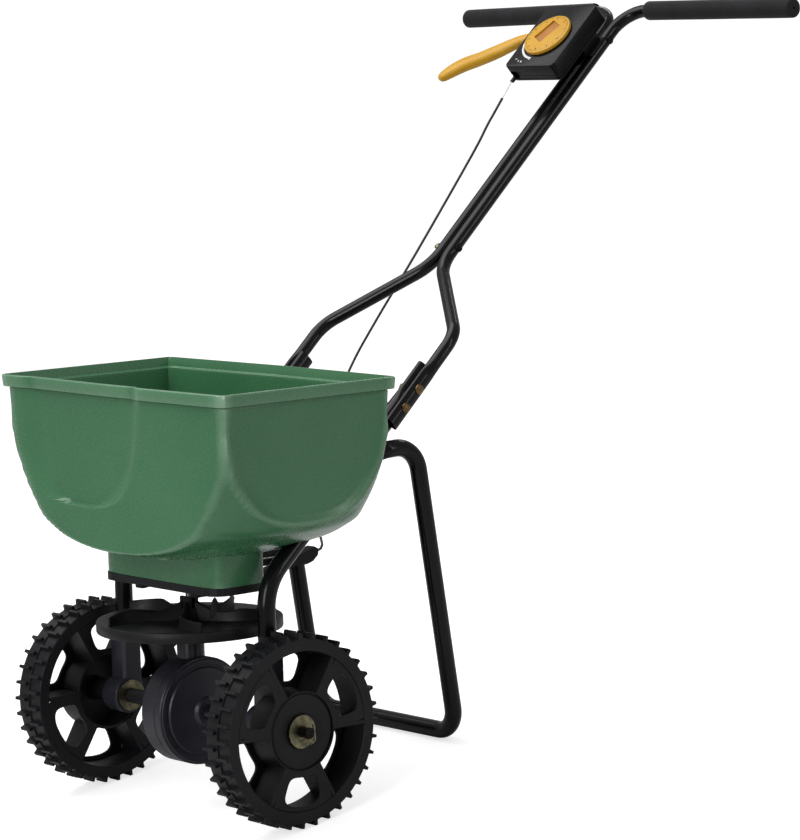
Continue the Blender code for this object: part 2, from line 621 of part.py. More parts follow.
to_x = Matrix.Rotation(math.pi / 2, 3, 'Y')
gear = bevel(GEAR_TEETH, math.atan2(GEAR_R, PINION_R), 0.10, 0.26, 0.0015, 0.0022,
             (0.96, 0.0170, 0.0066, 0.0100))
node("drive_gear", "grey_plastic", *turned(gear, to_x))
pinion = bevel(PINION_TEETH, math.atan2(PINION_R, GEAR_R), 0.09, 0.26, 0.0015, 0.0022,
               (0.90, 0.0545, 0.0042, 0.0400), offset=0.5)
node("pinion", "grey_plastic", *pinion)

CASE_R = 0.0625
case_r = [(0.0068, 0.0330 - 0.0010), (0.0068, 0.0190), (0.0560, 0.0190), (0.0560, 0.0085),
          (CASE_R, 0.0085), (CASE_R, 0.0200), (0.0605, 0.0220), (0.0540, 0.0220),
          (0.0500, 0.0235), (0.0200, 0.0260), (0.0160, 0.0310), (0.0140, 0.0320)]
case_right = node("gear_case_right", "black_plastic", *lathe(case_r, 24, 'X', loop=True))
case_l = [(0.0068, -0.0196), (0.0068, -0.0165), (0.0560, -0.0165), (0.0560, 0.0080),
          (CASE_R, 0.0080), (CASE_R, -0.0155), (0.0600, -0.0180), (0.0180, -0.0196)]
case_left = node("gear_case_left", "black_plastic", *lathe(case_l, 24, 'X', loop=True))
post = node("tool", "black_plastic", *lathe([(0.0160, 0.0400), (0.0160, 0.0800), (0.0140, 0.0815)],
                                            20, 'Z'))
boolean(case_left, [post], 'UNION')
space = node("tool", "black_plastic", *lathe([(0.0150, 0.0300), (0.0150, 0.0575), (0.0044, 0.0576),
                                              (0.0044, 0.0900)], 20, 'Z'))
inside = node("tool", "black_plastic", *lathe([(0.0560, -0.0165), (0.0560, 0.0300)], 24, 'X'))
boolean(case_left, [space, inside], 'DIFFERENCE')
trim = node("tool", "black_plastic", *lathe([(0.0166, 0.0300), (0.0166, 0.0900)], 20, 'Z'))
boolean(case_right, [trim], 'DIFFERENCE')
node("shaft_cap", "black_plastic", *lathe([(0.0044, 0.0819), (0.0170, 0.0819), (0.0170, 0.0862),
                                           (0.0044, 0.0875)], 20, 'Z', loop=True))

# ---------------------------------------------------------------- control box, dial and lever
BOX_X = 0.0440
BOX_S0, BOX_S1 = 0.2776, 0.3873
BOX_H0, BOX_H1 = 0.0410, 0.0655
SKIN = 0.0025
DIAL_S = 0.3290
cover = node("box_cover", "black_plastic",
             *prism(rounded(-BOX_X, BOX_X, BOX_S0, BOX_S1, 0.007, 3), BOX_H0 + 0.0030, BOX_H1, 'Z'),
             HANDLE)
room = node("tool", "black_plastic",
            *prism(rounded(-BOX_X + SKIN, BOX_X - SKIN, BOX_S0 + SKIN, BOX_S1 - SKIN, 0.005, 3),
                   BOX_H0 - 0.01, BOX_H1 - SKIN, 'Z'), HANDLE)
slot = node("tool", "black_plastic", *block(-0.06, -0.03, 0.3230, 0.3790, 0.0455, 0.0595), HANDLE)
exit_ = node("tool", "black_plastic", *block(-0.0418, -0.0280, 0.26, 0.30, 0.0430, 0.0565),
             HANDLE)
dial_hole = node("tool", "black_plastic", *lathe([(0.0053, 0.05), (0.0053, 0.08)], 20, 'Z',
                                                 (0, DIAL_S, 0)), HANDLE)
boolean(cover, [room, slot, exit_, dial_hole], 'DIFFERENCE')
floor = node("box_base", "black_plastic",
             *prism(rounded(-BOX_X, BOX_X, BOX_S0, BOX_S1, 0.007, 3), BOX_H0, BOX_H0 + 0.0027, 'Z'),
             HANDLE)
PIVOT = (0.010, 0.3640)
pin_post = node("tool", "black_plastic",
                *lathe([(0.0040, BOX_H0 + 0.001), (0.0040, 0.0470 - 0.0005)], 14, 'Z',
                       (PIVOT[0], PIVOT[1], 0)), HANDLE)
boolean(floor, [pin_post], 'UNION')
lever_line = [  # across, up the handle, half width, half thickness
    (0.0165, 0.3662, 0.0050, 0.0040), (0.0100, 0.3640, 0.0062, 0.0042),
    (-0.0200, 0.3535, 0.0062, 0.0045),
    (-0.0500, 0.3430, 0.0068, 0.0052), (-0.0700, 0.3350, 0.0085, 0.0062),
    (-0.0950, 0.3190, 0.0100, 0.0070), (-0.1180, 0.3060, 0.0098, 0.0072),
    (-0.1400, 0.2960, 0.0105, 0.0072), (-0.1550, 0.2850, 0.0098, 0.0068),
    (-0.1650, 0.2740, 0.0075, 0.0055), (-0.1680, 0.2690, 0.0045, 0.0035)]
LEVER_H = 0.0525
rings = []
for i, (x, s, wide, thick) in enumerate(lever_line):
    nxt = lever_line[min(i + 1, len(lever_line) - 1)]
    prv = lever_line[max(i - 1, 0)]
    along = Vector((nxt[0] - prv[0], nxt[1] - prv[1])).normalized()
    across = Vector((-along.y, along.x))
    ring = []
    for j in range(12):
        a = 2 * math.pi * (j + 0.5) / 12
        c, t = math.cos(a), math.sin(a)
        c = math.copysign(abs(c) ** 0.75, c)
        t = math.copysign(abs(t) ** 0.75, t)
        ring.append(Vector((x + across.x * wide * c, s + across.y * wide * c, LEVER_H + thick * t)))
    rings.append(ring)
lever = node("lever", "yellow_plastic", *loft(rings), HANDLE, (PIVOT[0], PIVOT[1], LEVER_H))
pin_bore = node("tool", "yellow_plastic",
                *lathe([(0.0026, 0.03), (0.0026, 0.08)], 14, 'Z', (PIVOT[0], PIVOT[1], 0)), HANDLE)
boolean(lever, [pin_bore], 'DIFFERENCE')
node("lever_pin", "steel", *lathe([(0.0023, 0.0475), (0.0023, 0.0590), (0.0045, 0.0592),
                                   (0.0040, 0.0610)], 14, 'Z', (PIVOT[0], PIVOT[1], 0)), HANDLE)
dial = node("dial", "yellow_plastic",
            *lathe([(0.0050, 0.0570), (0.0050, 0.0660), (0.0320, 0.0660), (0.0330, 0.0670),
                    (0.0330, 0.0700), (0.0320, 0.0712)], 32, 'Z', (0, DIAL_S, 0)),
            HANDLE, (0, DIAL_S, 0.0685))
pocket = node("tool", "yellow_plastic",
              *turned(prism(rounded(-0.0085, 0.0085, -0.0135, 0.0135, 0.002, 2), 0.0680, 0.08, 'Z'),
                      Matrix.Identity(3)), HANDLE)
pocket.matrix_world = HANDLE @ Matrix.Translation((-0.003, DIAL_S + 0.005, 0)) \
    @ Matrix.Rotation(math.radians(-22), 4, 'Z')
boolean(dial, [pocket], 'DIFFERENCE')
bracket = node("box_bracket", "black_paint",
               *prism([(-0.0190, 0.0085 + GAP), (0.0190, 0.0085 + GAP), (0.0190, 0.0118),
                       (0.0110, 0.0118), (0.0110, 0.0377), (0.0190, 0.0377), (0.0190, 0.0407),
                       (-0.0190, 0.0407), (-0.0190, 0.0377), (-0.0110, 0.0377),
                       (-0.0110, 0.0118), (-0.0190, 0.0118)], 0.3520, 0.3840, 'Y'), HANDLE)

# ---------------------------------------------------------------- control cable
slider = node("cable_slider", "black_plastic",
              *prism([(-0.0400, 0.2700), (-0.0350, 0.2700), (-0.0350, 0.2830), (-0.0300, 0.2860),
                      (-0.0300, 0.3000), (-0.0400, 0.3000)], 0.0445, 0.0475, 'Z'), HANDLE)
top_end = HANDLE_A + S_DIR * 0.2655 + H_DIR * 0.0460 + Vector((-0.0375, 0, 0))
wire_dir = (Vector((-0.0432, 0.5404, 0.6737)) - top_end).normalized()
wire_low = top_end + wire_dir * 0.0200       # the sheath starts here, and the wire runs on in it
node("wire_top", "white_liner", *sweep([top_end - wire_dir * 0.0038, wire_low + wire_dir * 0.024],
                                       0.0008, None, 8, first_up=(1, 0, 0)))
cable_knots = [wire_low + wire_dir * 0.0120, wire_low + wire_dir * 0.0260,
               wire_low + wire_dir * 0.0400, Vector((-0.0550, 0.5062, 0.6153)),
               Vector((-0.0787, 0.4320, 0.4994)),
               Vector((-0.0965, 0.3742, 0.4133)), Vector((-0.1010, 0.3360, 0.3590)),
               Vector((-0.0900, 0.2800, 0.2800)), Vector((-0.0560, 0.2350, 0.2020)),
               Vector((-0.0180, 0.2160, 0.1640)), Vector((-0.0120, 0.1940, 0.1590)),
               Vector((-0.0120, 0.1800, 0.1590)), Vector((-0.0120, 0.1660, 0.1590))]


def smooth_curve(knots, per=5):
    """Catmull-Rom curve through the knots."""
    pts = []
    ext = [knots[0] * 2 - knots[1]] + knots + [knots[-1] * 2 - knots[-2]]
    for i in range(1, len(ext) - 2):
        a, b, c, d = ext[i - 1], ext[i], ext[i + 1], ext[i + 2]
        for k in range(per):
            t = k / per
            pts.append(0.5 * ((2 * b) + (c - a) * t + (2 * a - 5 * b + 4 * c - d) * t * t
                              + (3 * b - a - 3 * c + d) * t ** 3))
    pts.append(knots[-1])
    return pts


cable_path = [wire_low] + smooth_curve(cable_knots, 2) + [Vector((-0.0120, 0.1512, 0.1590))]
node("cable", "black_plastic", *sweep(cable_path, 0.0016, 0.0004, 8, first_up=(1, 0, 0)))
node("wire_gate", "steel", *sweep([Vector((-0.0120, 0.0860, 0.1590)),
                                   Vector((-0.0120, 0.1509, 0.1590))], 0.0008, None, 8,
                                  first_up=(1, 0, 0)))

# ---------------------------------------------------------------- bolts
def carriage(name, start, length, shank=0.0028, head=0.0062, look="zinc"):
    """Domed bolt along X from start: sign of length gives the way it goes in."""
    way = 1 if length > 0 else -1
    x = start[0]
    profile = [(head * 0.45, x - way * 0.0028), (head, x - way * 0.0008), (head, x), (shank, x),
               (shank, x + length)]
    return node(name, look, *lathe(profile, 12, 'X', (0, start[1], start[2])))


def nut(name, x0, x1, y, z, radius=0.0062, bore=0.0036, look="zinc"):
    lo, hi = sorted((x0, x1))
    return node(name, look, *lathe([(bore, lo), (radius, lo), (radius, hi), (bore, hi)], 6, 'X',
                                   (0, y, z), loop=True), smooth=20.0)


low_dir = Vector((0, 0.1030, 0.0960)).normalized()
BOLTS = []
for k, reach in enumerate((0.026, 0.055)):
    spot = Vector((0, 0.2095, 0.3190)) + low_dir * reach
    BOLTS.append((spot.y, spot.z))
for side, label in ((-1, "left"), (1, "right")):
    for k, (y, z) in enumerate(BOLTS):
        x_out = SPLIT_X * side + side * (HANDLE_R * 0.66 + GAP)
        carriage("frame_bolt_%s_%d" % (label, k + 1), (x_out, y, z), -side * 0.0300)
        cut = node("tool", "zinc", *lathe([(0.0031, -0.2), (0.0031, 0.2)], 10, 'X', (0, y, z)))
        boolean(bpy.data.objects["handle_tube_" + label], [cut], 'DIFFERENCE')
        cut = node("tool", "zinc", *lathe([(0.0031, -0.2), (0.0031, 0.2)], 10, 'X', (0, y, z)))
        boolean(bpy.data.objects["frame_tube_" + label], [cut], 'DIFFERENCE')
        nut("frame_nut_%s_%d" % (label, k + 1), 0.1019 * side, 0.0975 * side, y, z)
    stand_y, stand_z = 0.1760, 0.2906
    carriage("stand_bolt_" + label, ((LEG_X + 0.0053) * side, stand_y, stand_z), -side * 0.0420)
    for owner in ("stand", "frame_tube_" + label):
        cut = node("tool", "zinc", *lathe([(0.0031, 0.06 * side), (0.0031, 0.16 * side)], 10, 'X',
                                          (0, stand_y, stand_z)))
        boolean(bpy.data.objects[owner], [cut], 'DIFFERENCE')
for k, s in enumerate((0.030, 0.391)):
    spot = HANDLE_A + S_DIR * s
    carriage("handle_bolt_%d" % (k + 1), (PAIR_X + HANDLE_R + GAP, spot.y, spot.z), -0.0420,
             0.0026, 0.0055)
    for label in ("left", "right"):
        cut = node("tool", "zinc", *lathe([(0.0029, -0.05), (0.0029, 0.05)], 10, 'X',
                                          (0, spot.y, spot.z)))
        boolean(bpy.data.objects["handle_tube_" + label], [cut], 'DIFFERENCE')
    nut("handle_nut_%d" % (k + 1), -PAIR_X - HANDLE_R - GAP, -PAIR_X - HANDLE_R - 0.0045,
        spot.y, spot.z, 0.0052, 0.0034)
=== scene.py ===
"""Walk-behind garden spreader: the looks of every piece, put together round its working frame."""
import json
import math

import bmesh
import bpy
from mathutils import Matrix, Vector


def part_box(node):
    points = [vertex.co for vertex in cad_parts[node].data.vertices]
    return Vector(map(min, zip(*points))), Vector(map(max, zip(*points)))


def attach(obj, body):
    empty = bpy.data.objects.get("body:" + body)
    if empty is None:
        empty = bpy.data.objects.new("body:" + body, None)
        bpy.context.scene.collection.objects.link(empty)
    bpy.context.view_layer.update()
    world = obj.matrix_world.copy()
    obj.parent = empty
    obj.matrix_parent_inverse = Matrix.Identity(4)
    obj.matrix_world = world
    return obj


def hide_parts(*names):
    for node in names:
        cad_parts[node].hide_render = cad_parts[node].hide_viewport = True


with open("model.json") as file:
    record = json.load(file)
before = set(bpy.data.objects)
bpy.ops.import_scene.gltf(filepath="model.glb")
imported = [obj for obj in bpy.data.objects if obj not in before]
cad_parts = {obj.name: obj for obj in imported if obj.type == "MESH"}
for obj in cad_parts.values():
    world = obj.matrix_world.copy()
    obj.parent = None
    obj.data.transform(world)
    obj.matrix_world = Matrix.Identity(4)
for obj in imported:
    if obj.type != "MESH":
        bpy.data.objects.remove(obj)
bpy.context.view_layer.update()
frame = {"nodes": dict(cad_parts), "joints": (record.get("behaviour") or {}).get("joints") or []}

# ================================================================ where the spreader stands
# The spreader is parked: its wheels and the foot bar of its stand share the floor, and the rest
# leans back about the axle. The spinning shaft shows that lean, and the dial shows the handle's.
joints = {joint["name"]: joint for joint in frame["joints"]}
axle_point = Vector(joints["wheel_drive"]["pos_m"])
shaft_way = Vector(joints["spinner_spin"]["axis"])
lean = math.atan2(shaft_way.y, shaft_way.z)
AXLE = Matrix.Translation(axle_point)
BODY = AXLE @ Matrix.Rotation(-lean, 4, 'X')
handle_up = Vector(joints["dial_turn"]["axis"]).normalized()
handle_along = handle_up.cross(Vector((1, 0, 0))).normalized()
DIAL_ALONG, DIAL_UP = 0.3290, 0.0685
handle_foot = Vector(joints["dial_turn"]["pos_m"]) - handle_along * DIAL_ALONG - handle_up * DIAL_UP
HANDLE = Matrix.Translation(handle_foot) @ Matrix((
    (1, 0, 0, 0), (0, handle_along.y, handle_up.y, 0), (0, handle_along.z, handle_up.z, 0),
    (0, 0, 0, 1)))

# ================================================================ viewpoint
# A long lens, from the front right and a little above the hopper's rim. It is rolled slightly,
# because the spreader is seen as it is held, a few degrees further forward than it parks.
TURN, PITCH, NOSE_DOWN = math.radians(49.0), math.radians(5.074), math.radians(2.092)
lens = bpy.data.cameras.new("viewpoint")
lens.sensor_width = 36.0
lens.lens = 144.55
lens.clip_end = 40.0
viewpoint = bpy.data.objects.new("viewpoint", lens)
bpy.context.scene.collection.objects.link(viewpoint)
right = Vector((math.cos(TURN), math.sin(TURN), 0))
back = Vector((math.sin(TURN) * math.cos(PITCH), -math.cos(TURN) * math.cos(PITCH),
               math.sin(PITCH)))
tilt = Matrix.Rotation(-(NOSE_DOWN + lean), 3, 'X')
right, back = tilt @ right, tilt @ back
up = back.cross(right)
eye = BODY @ Vector((3.06895, -2.32389, 0.76275))
viewpoint.matrix_world = Matrix((
    (right.x, up.x, back.x, eye.x), (right.y, up.y, back.y, eye.y),
    (right.z, up.z, back.z, eye.z), (0, 0, 0, 1)))
bpy.context.scene.camera = viewpoint


# ================================================================ control cable
# A thin black PVC sheath over a steel wire, clipped under the control box and led down behind the
# handle's left tube to the gate. White wire shows between the box and the sheath's end.
def in_space(space, points):
    return [space @ Vector(point) for point in points]


def skin(rings, closed=False):
    """Vertices and faces over equal rings of points, capped at both ends or joined up."""
    count = len(rings[0])
    verts = [point for ring in rings for point in ring]
    faces = []
    for i in range(len(rings) if closed else len(rings) - 1):
        low, high = i * count, ((i + 1) % len(rings)) * count
        for j in range(count):
            k = (j + 1) % count
            faces.append([low + j, low + k, high + k, high + j])
    if not closed:
        faces.append(list(range(count))[::-1])
        faces.append([len(verts) - count + j for j in range(count)])
    return verts, faces


def along_path(path, radius, sides=24, section=None, up_first=(0, 0, 1), wall=0.0):
    """Tube mesh along a path. section(i) gives the across and up scale of the tube there."""
    outer, inner, side = [], [], None
    for i, point in enumerate(path):
        ahead = path[min(i + 1, len(path) - 1)] - point
        behind = point - path[max(i - 1, 0)]
        way = (ahead.normalized() + behind.normalized()).normalized()
        if side is None:
            side = way.cross(Vector(up_first)).normalized()
        side = (side - way * side.dot(way)).normalized()
        lift = side.cross(way)
        across, high = section(i) if section else (1.0, 1.0)
        ring, bore = [], []
        for j in range(sides):
            c, s = math.cos(2 * math.pi * j / sides), math.sin(2 * math.pi * j / sides)
            ring.append(point + side * c * radius * across + lift * s * radius * high)
            bore.append(point + side * c * (radius * across - wall)
                        + lift * s * (radius * high - wall))
        outer.append(ring)
        inner.append(bore)
    return skin(outer + inner[::-1], True) if wall else skin(outer)


def make(name, mesh_data, body, finish, smooth=35.0, replaces=()):
    """One piece of the spreader from vertices and faces, on its body and in its finish."""
    mesh = bpy.data.meshes.new(name)
    mesh.from_pydata([Vector(v) for v in mesh_data[0]], [], mesh_data[1])
    work = bmesh.new()
    work.from_mesh(mesh)
    bmesh.ops.recalc_face_normals(work, faces=work.faces)
    work.to_mesh(mesh)
    work.free()
    mesh.shade_smooth()
    mesh.set_sharp_from_angle(angle=math.radians(smooth))
    piece = bpy.data.objects.new(name, mesh)
    bpy.context.scene.collection.objects.link(piece)
    mesh.materials.append(finish)
    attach(piece, body)
    if replaces:
        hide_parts(*replaces)
    return piece


def colour(hex_value):
    """An sRGB hex colour as the linear colour that the shader takes."""
    parts = [int(hex_value[i:i + 2], 16) / 255 for i in (1, 3, 5)]
    return tuple(p / 12.92 if p <= 0.04045 else ((p + 0.055) / 1.055) ** 2.4 for p in parts) + (1,)


def add_node(finish, kind, settings=(), sockets=()):
    """Adds one node to a material, with its settings, and with values or links on its sockets."""
    made = finish.node_tree.nodes.new(kind)
    for name, value in dict(settings).items():
        setattr(made, name, value)
    for name, value in dict(sockets).items():
        if isinstance(value, bpy.types.NodeSocket):
            finish.node_tree.links.new(value, made.inputs[name])
        else:
            made.inputs[name].default_value = value
    return made


def moulded(name, base, tint, rough, rough_swing=0.06, grain_mm=1.6, grain_depth=0.00006,
            tone_mm=60.0, metal=0.0, **shader):
    """A finish with a slow drift of tone, a fine surface grain, and gloss that varies with both."""
    finish = bpy.data.materials.new(name)
    finish.use_nodes = True
    surface = finish.node_tree.nodes["Principled BSDF"]
    place = add_node(finish, "ShaderNodeTexCoord")
    drift = add_node(finish, "ShaderNodeTexNoise", {}, {
        "Vector": place.outputs["Object"], "Scale": 1000.0 / tone_mm, "Detail": 3.0})
    grain = add_node(finish, "ShaderNodeTexNoise", {}, {
        "Vector": place.outputs["Object"], "Scale": 1000.0 / grain_mm, "Detail": 2.0})
    share = add_node(finish, "ShaderNodeMapRange", {}, {
        "Value": drift.outputs["Fac"], "From Min": 0.35, "From Max": 0.65})
    tone = add_node(finish, "ShaderNodeMix", {"data_type": 'RGBA'}, {
        0: share.outputs["Result"], 6: colour(base), 7: colour(tint)})
    gloss = add_node(finish, "ShaderNodeMapRange", {}, {
        "Value": grain.outputs["Fac"], "From Min": 0.3, "From Max": 0.7,
        "To Min": rough - rough_swing, "To Max": rough + rough_swing})
    relief = add_node(finish, "ShaderNodeBump", {}, {
        "Height": grain.outputs["Fac"], "Distance": grain_depth, "Strength": 1.0})
    for result, socket in ((tone.outputs[2], "Base Color"), (gloss.outputs["Result"], "Roughness"),
                           (relief.outputs["Normal"], "Normal")):
        finish.node_tree.links.new(result, surface.inputs[socket])
    surface.inputs["Metallic"].default_value = metal
    for socket, value in shader.items():
        surface.inputs[socket.replace("_", " ")].default_value = value
    return finish


# PVC sheath, drawn on the wire: even, slightly waxy black with a soft light line along it.
pvc_sheath = moulded("pvc_sheath", "#141416", "#1D1D20", 0.36, grain_mm=2.0, tone_mm=25.0)
# Nylon over the wire, extruded: milky white and smooth, so it reads as one clean line.
nylon_wire = moulded("nylon_wire", "#ECEBE6", "#DAD8D0", 0.34, grain_mm=2.0, tone_mm=12.0)


def smooth_curve(knots, per=4):
    """Curve that passes through every knot, for a cable laid in easy bends."""
    curve = []
    ends = [knots[0] * 2 - knots[1]] + knots + [knots[-1] * 2 - knots[-2]]
    for i in range(1, len(ends) - 2):
        a, b, c, d = ends[i - 1:i + 3]
        for k in range(per):
            t = k / per
            curve.append(0.5 * (2 * b + (c - a) * t + (2 * a - 5 * b + 4 * c - d) * t * t
                                + (3 * b - a - 3 * c + d) * t ** 3))
    return curve + [knots[-1]]


clip_end = BODY.inverted() @ (HANDLE @ Vector((-0.0375, 0.2655, 0.0460)))
wire_way = (Vector((-0.0432, 0.5404, 0.6737)) - clip_end).normalized()
sheath_top = clip_end + wire_way * 0.0200
cable_knots = [sheath_top + wire_way * 0.0120, sheath_top + wire_way * 0.0260,
               sheath_top + wire_way * 0.0400, Vector((-0.0550, 0.5062, 0.6153)),
               Vector((-0.0787, 0.4320, 0.4994)),
               Vector((-0.0965, 0.3742, 0.4133)), Vector((-0.1010, 0.3360, 0.3590)),
               Vector((-0.0900, 0.2800, 0.2800)), Vector((-0.0560, 0.2350, 0.2020)),
               Vector((-0.0180, 0.2160, 0.1640)), Vector((-0.0120, 0.1940, 0.1590)),
               Vector((-0.0120, 0.1800, 0.1590)), Vector((-0.0120, 0.1660, 0.1590))]
cable_path = in_space(BODY, [sheath_top] + smooth_curve(cable_knots)
                      + [Vector((-0.0120, 0.1512, 0.1590))])
cable = make("control_cable", along_path(cable_path, 0.0016, 12, None, (1, 0, 0), 0.0005),
             "chassis", pvc_sheath, 50.0, ("cable",))


def refinish(finish, *nodes, bevel=0.0):
    """A working part that already has its shape takes its finish, and soft edges if asked."""
    for name in nodes:
        part = frame["nodes"][name]
        for place in part.material_slots:
            place.material = finish
        if bevel:
            edge = part.modifiers.new("soft_edges", 'BEVEL')
            edge.width = bevel
            edge.segments = 2
            edge.limit_method = 'ANGLE'
            edge.angle_limit = math.radians(40)
            edge.harden_normals = False


refinish(nylon_wire, "wire_top")


# ================================================================ wheels
# Each wheel is one moulding of black polypropylene: a tread band with staggered lugs, a dished hub
# face, and fan-shaped webs that stand alternately at its outer and inner faces.
def turned(profile, sides, axis='Z', centre=(0, 0, 0), closed=True, flute=None):
    """A profile of (radius, height) turned about an axis. flute(angle) may scale the radius."""
    rings = []
    for radius, height in profile:
        ring = []
        for j in range(sides):
            a = 2 * math.pi * j / sides
            r = radius * (flute(a) if flute else 1.0)
            c, s = r * math.cos(a), r * math.sin(a)
            ring.append(Vector({'X': (height, c, s), 'Z': (c, s, height)}[axis]) + Vector(centre))
        rings.append(ring)
    return skin(rings, closed)


def merged(lumps):
    """Several closed lumps as one vertex and face list."""
    verts, faces = [], []
    for lump_verts, lump_faces in lumps:
        start = len(verts)
        verts += lump_verts
        faces += [[start + i for i in face] for face in lump_faces]
    return verts, faces


def moved(space, mesh_data):
    """The same corners and faces, placed in one of the spreader's own spaces."""
    return [space @ Vector(v) for v in mesh_data[0]], mesh_data[1]


def plate(outline, low, high, edge, hole=None, axis='X'):
    """A flat moulding pushed along an axis, its outer corners eased by edge, perhaps holed."""
    def at(point, height):
        return Vector({'X': (height,) + tuple(point), 'Z': tuple(point) + (height,)}[axis])

    def shrunk(points, by):
        result = []
        for i, point in enumerate(points):
            before = Vector(points[i - 1])
            after = Vector(points[(i + 1) % len(points)])
            way = (after - before).normalized()
            result.append(Vector(point) + Vector((-way.y, way.x)) * by)
        return result
    rings = []
    for height, by in ((low, edge), (low + edge, 0), (high - edge, 0), (high, edge)):
        rings.append([at(p, height) for p in shrunk(outline, by)])
    if hole is None:
        return skin(rings)
    for height, by in ((high, -edge), (high - edge, 0), (low + edge, 0), (low, -edge)):
        rings.append([at(p, height) for p in shrunk(hole, by)])
    return skin(rings, True)


# Polypropylene, injection moulded with a fine spark-eroded texture: near black, dry and matte,
# a little greyer where the tread has rubbed. The 0.3 mm texture is drawn at 1.4 mm to show.
black_polypropylene = moulded("black_polypropylene", "#111114", "#18181B", 0.46, 0.08, 1.4, 0.00008,
                             Specular_IOR_Level=0.22)
TREAD, WHEEL_R, WHEEL_HALF, WHEEL_X, LUGS = 0.1040, 0.1100, 0.0210, 0.1800, 36


def wheel_shape(side):
    """Tread band with its ridge, dished hub, six holed fan webs, ribs and two rows of lugs."""
    lumps = [turned([(0.0905, -WHEEL_HALF), (TREAD - 0.001, -WHEEL_HALF),
                     (TREAD, -WHEEL_HALF + 0.001), (TREAD, -0.0014), (0.1056, -0.0010),
                     (0.1056, 0.0010), (TREAD, 0.0014), (TREAD, WHEEL_HALF - 0.001),
                     (TREAD - 0.001, WHEEL_HALF), (0.0908, WHEEL_HALF), (0.0903, 0.0203),
                     (0.0892, 0.0)], 144, 'X')]
    lumps.append(turned([(0.0070, 0.0168), (0.0200, 0.0170), (0.0212, 0.0176), (0.0405, 0.0197),
                         (0.0420, 0.0190), (0.0426, 0.0176), (0.0436, 0.0176), (0.0440, 0.0205),
                         (0.0448, WHEEL_HALF), (0.0456, 0.0206), (0.0462, -0.0170),
                         (0.0455, -0.0175), (0.0428, -0.0175), (0.0425, 0.0150),
                         (0.0150, 0.0140), (0.0135, 0.0120), (0.0130, -WHEEL_HALF),
                         (0.0070, -WHEEL_HALF)], 96, 'X'))
    for k in range(3):
        for outer, middle in ((True, -100 + 120 * k), (False, -40 + 120 * k)):
            low, high = (0.0168, 0.0205) if outer else (-0.0205, -0.0168)
            near, far, span = (0.0515, 0.0843, 20) if outer else (0.0515, 0.0853, 21)
            edge, hole = [], []
            for i in range(56):
                c, t = math.cos(math.pi * i / 28 + 0.001), math.sin(math.pi * i / 28 + 0.001)
                wide = max(abs(c), abs(t))
                r_edge = 0.0676 + 0.0226 * t / wide
                a = math.radians(middle - (30.0 - 2.5 * t / wide) * c / wide)
                edge.append((r_edge * math.cos(a), r_edge * math.sin(a)))
                c, t = (math.copysign(abs(v) ** 0.52, v) for v in (c, t))
                r_hole = (far + near) / 2 + (far - near) / 2 * t
                a = math.radians(middle - span * c)
                hole.append((r_hole * math.cos(a), r_hole * math.sin(a)))
            lumps.append(plate(edge, low, high, 0.0006, hole))
    for k in range(6):
        a = math.radians(60 * k - 10)
        out, across = Vector((math.cos(a), math.sin(a))), Vector((-math.sin(a), math.cos(a)))
        corners = [out * 0.0440 - across * 0.0029, out * 0.0900 - across * 0.0024,
                   out * 0.0900 + across * 0.0024, out * 0.0440 + across * 0.0029]
        lumps.append(plate(corners, -0.0206, 0.0206, 0.0006))
    for row, (low, high) in enumerate(((0.0019, 0.0206), (-0.0206, -0.0019))):
        for k in range(LUGS):
            a = math.radians(-90 + (k + row * 0.5) * 360 / LUGS)
            out, across = Vector((math.cos(a), math.sin(a))), Vector((-math.sin(a), math.cos(a)))
            corners = [out * reach + across * half for reach, half in (
                (TREAD - 0.001, -0.0029), (TREAD + 0.0012, -0.0022), (WHEEL_R, -0.0017),
                (WHEEL_R, 0.0017), (TREAD + 0.0012, 0.0022), (TREAD - 0.001, 0.0029))]
            lumps.append(plate(corners, low, high, 0.0005))
    verts, faces = merged(lumps)
    verts = [Vector((v[0] * side + WHEEL_X * side, v[1], v[2])) for v in verts]
    if side < 0:
        faces = [face[::-1] for face in faces]
    return verts, faces


for side, label, body in ((-1, "left", "drive"), (1, "right", "idler")):
    make("wheel_moulding_" + label, moved(AXLE, wheel_shape(side)), body,
         black_polypropylene, 32.0, ("wheel_" + label,))

# ================================================================ axle, washers and cotter pins
# A drawn steel axle, blackened at its ends, runs through both wheels. Stamped washers passivated
# with yellow zinc bear on the hubs, and a bent cotter pin holds each wheel on.
# Zinc passivate: bright metal under a thin iridescent film, so it is pale straw with duller spots.
zinc_passivate = moulded("zinc_passivate", "#8C876C", "#5F5B49", 0.34, 0.10, 1.2, 0.00002, 9.0, 1.0)
# Drawn steel, oiled: grey and fairly bright, with fine drawing lines that soften its gloss.
drawn_steel = moulded("drawn_steel", "#8C8B88", "#6E6D6B", 0.32, 0.08, 1.0, 0.00001, 14.0, 1.0)
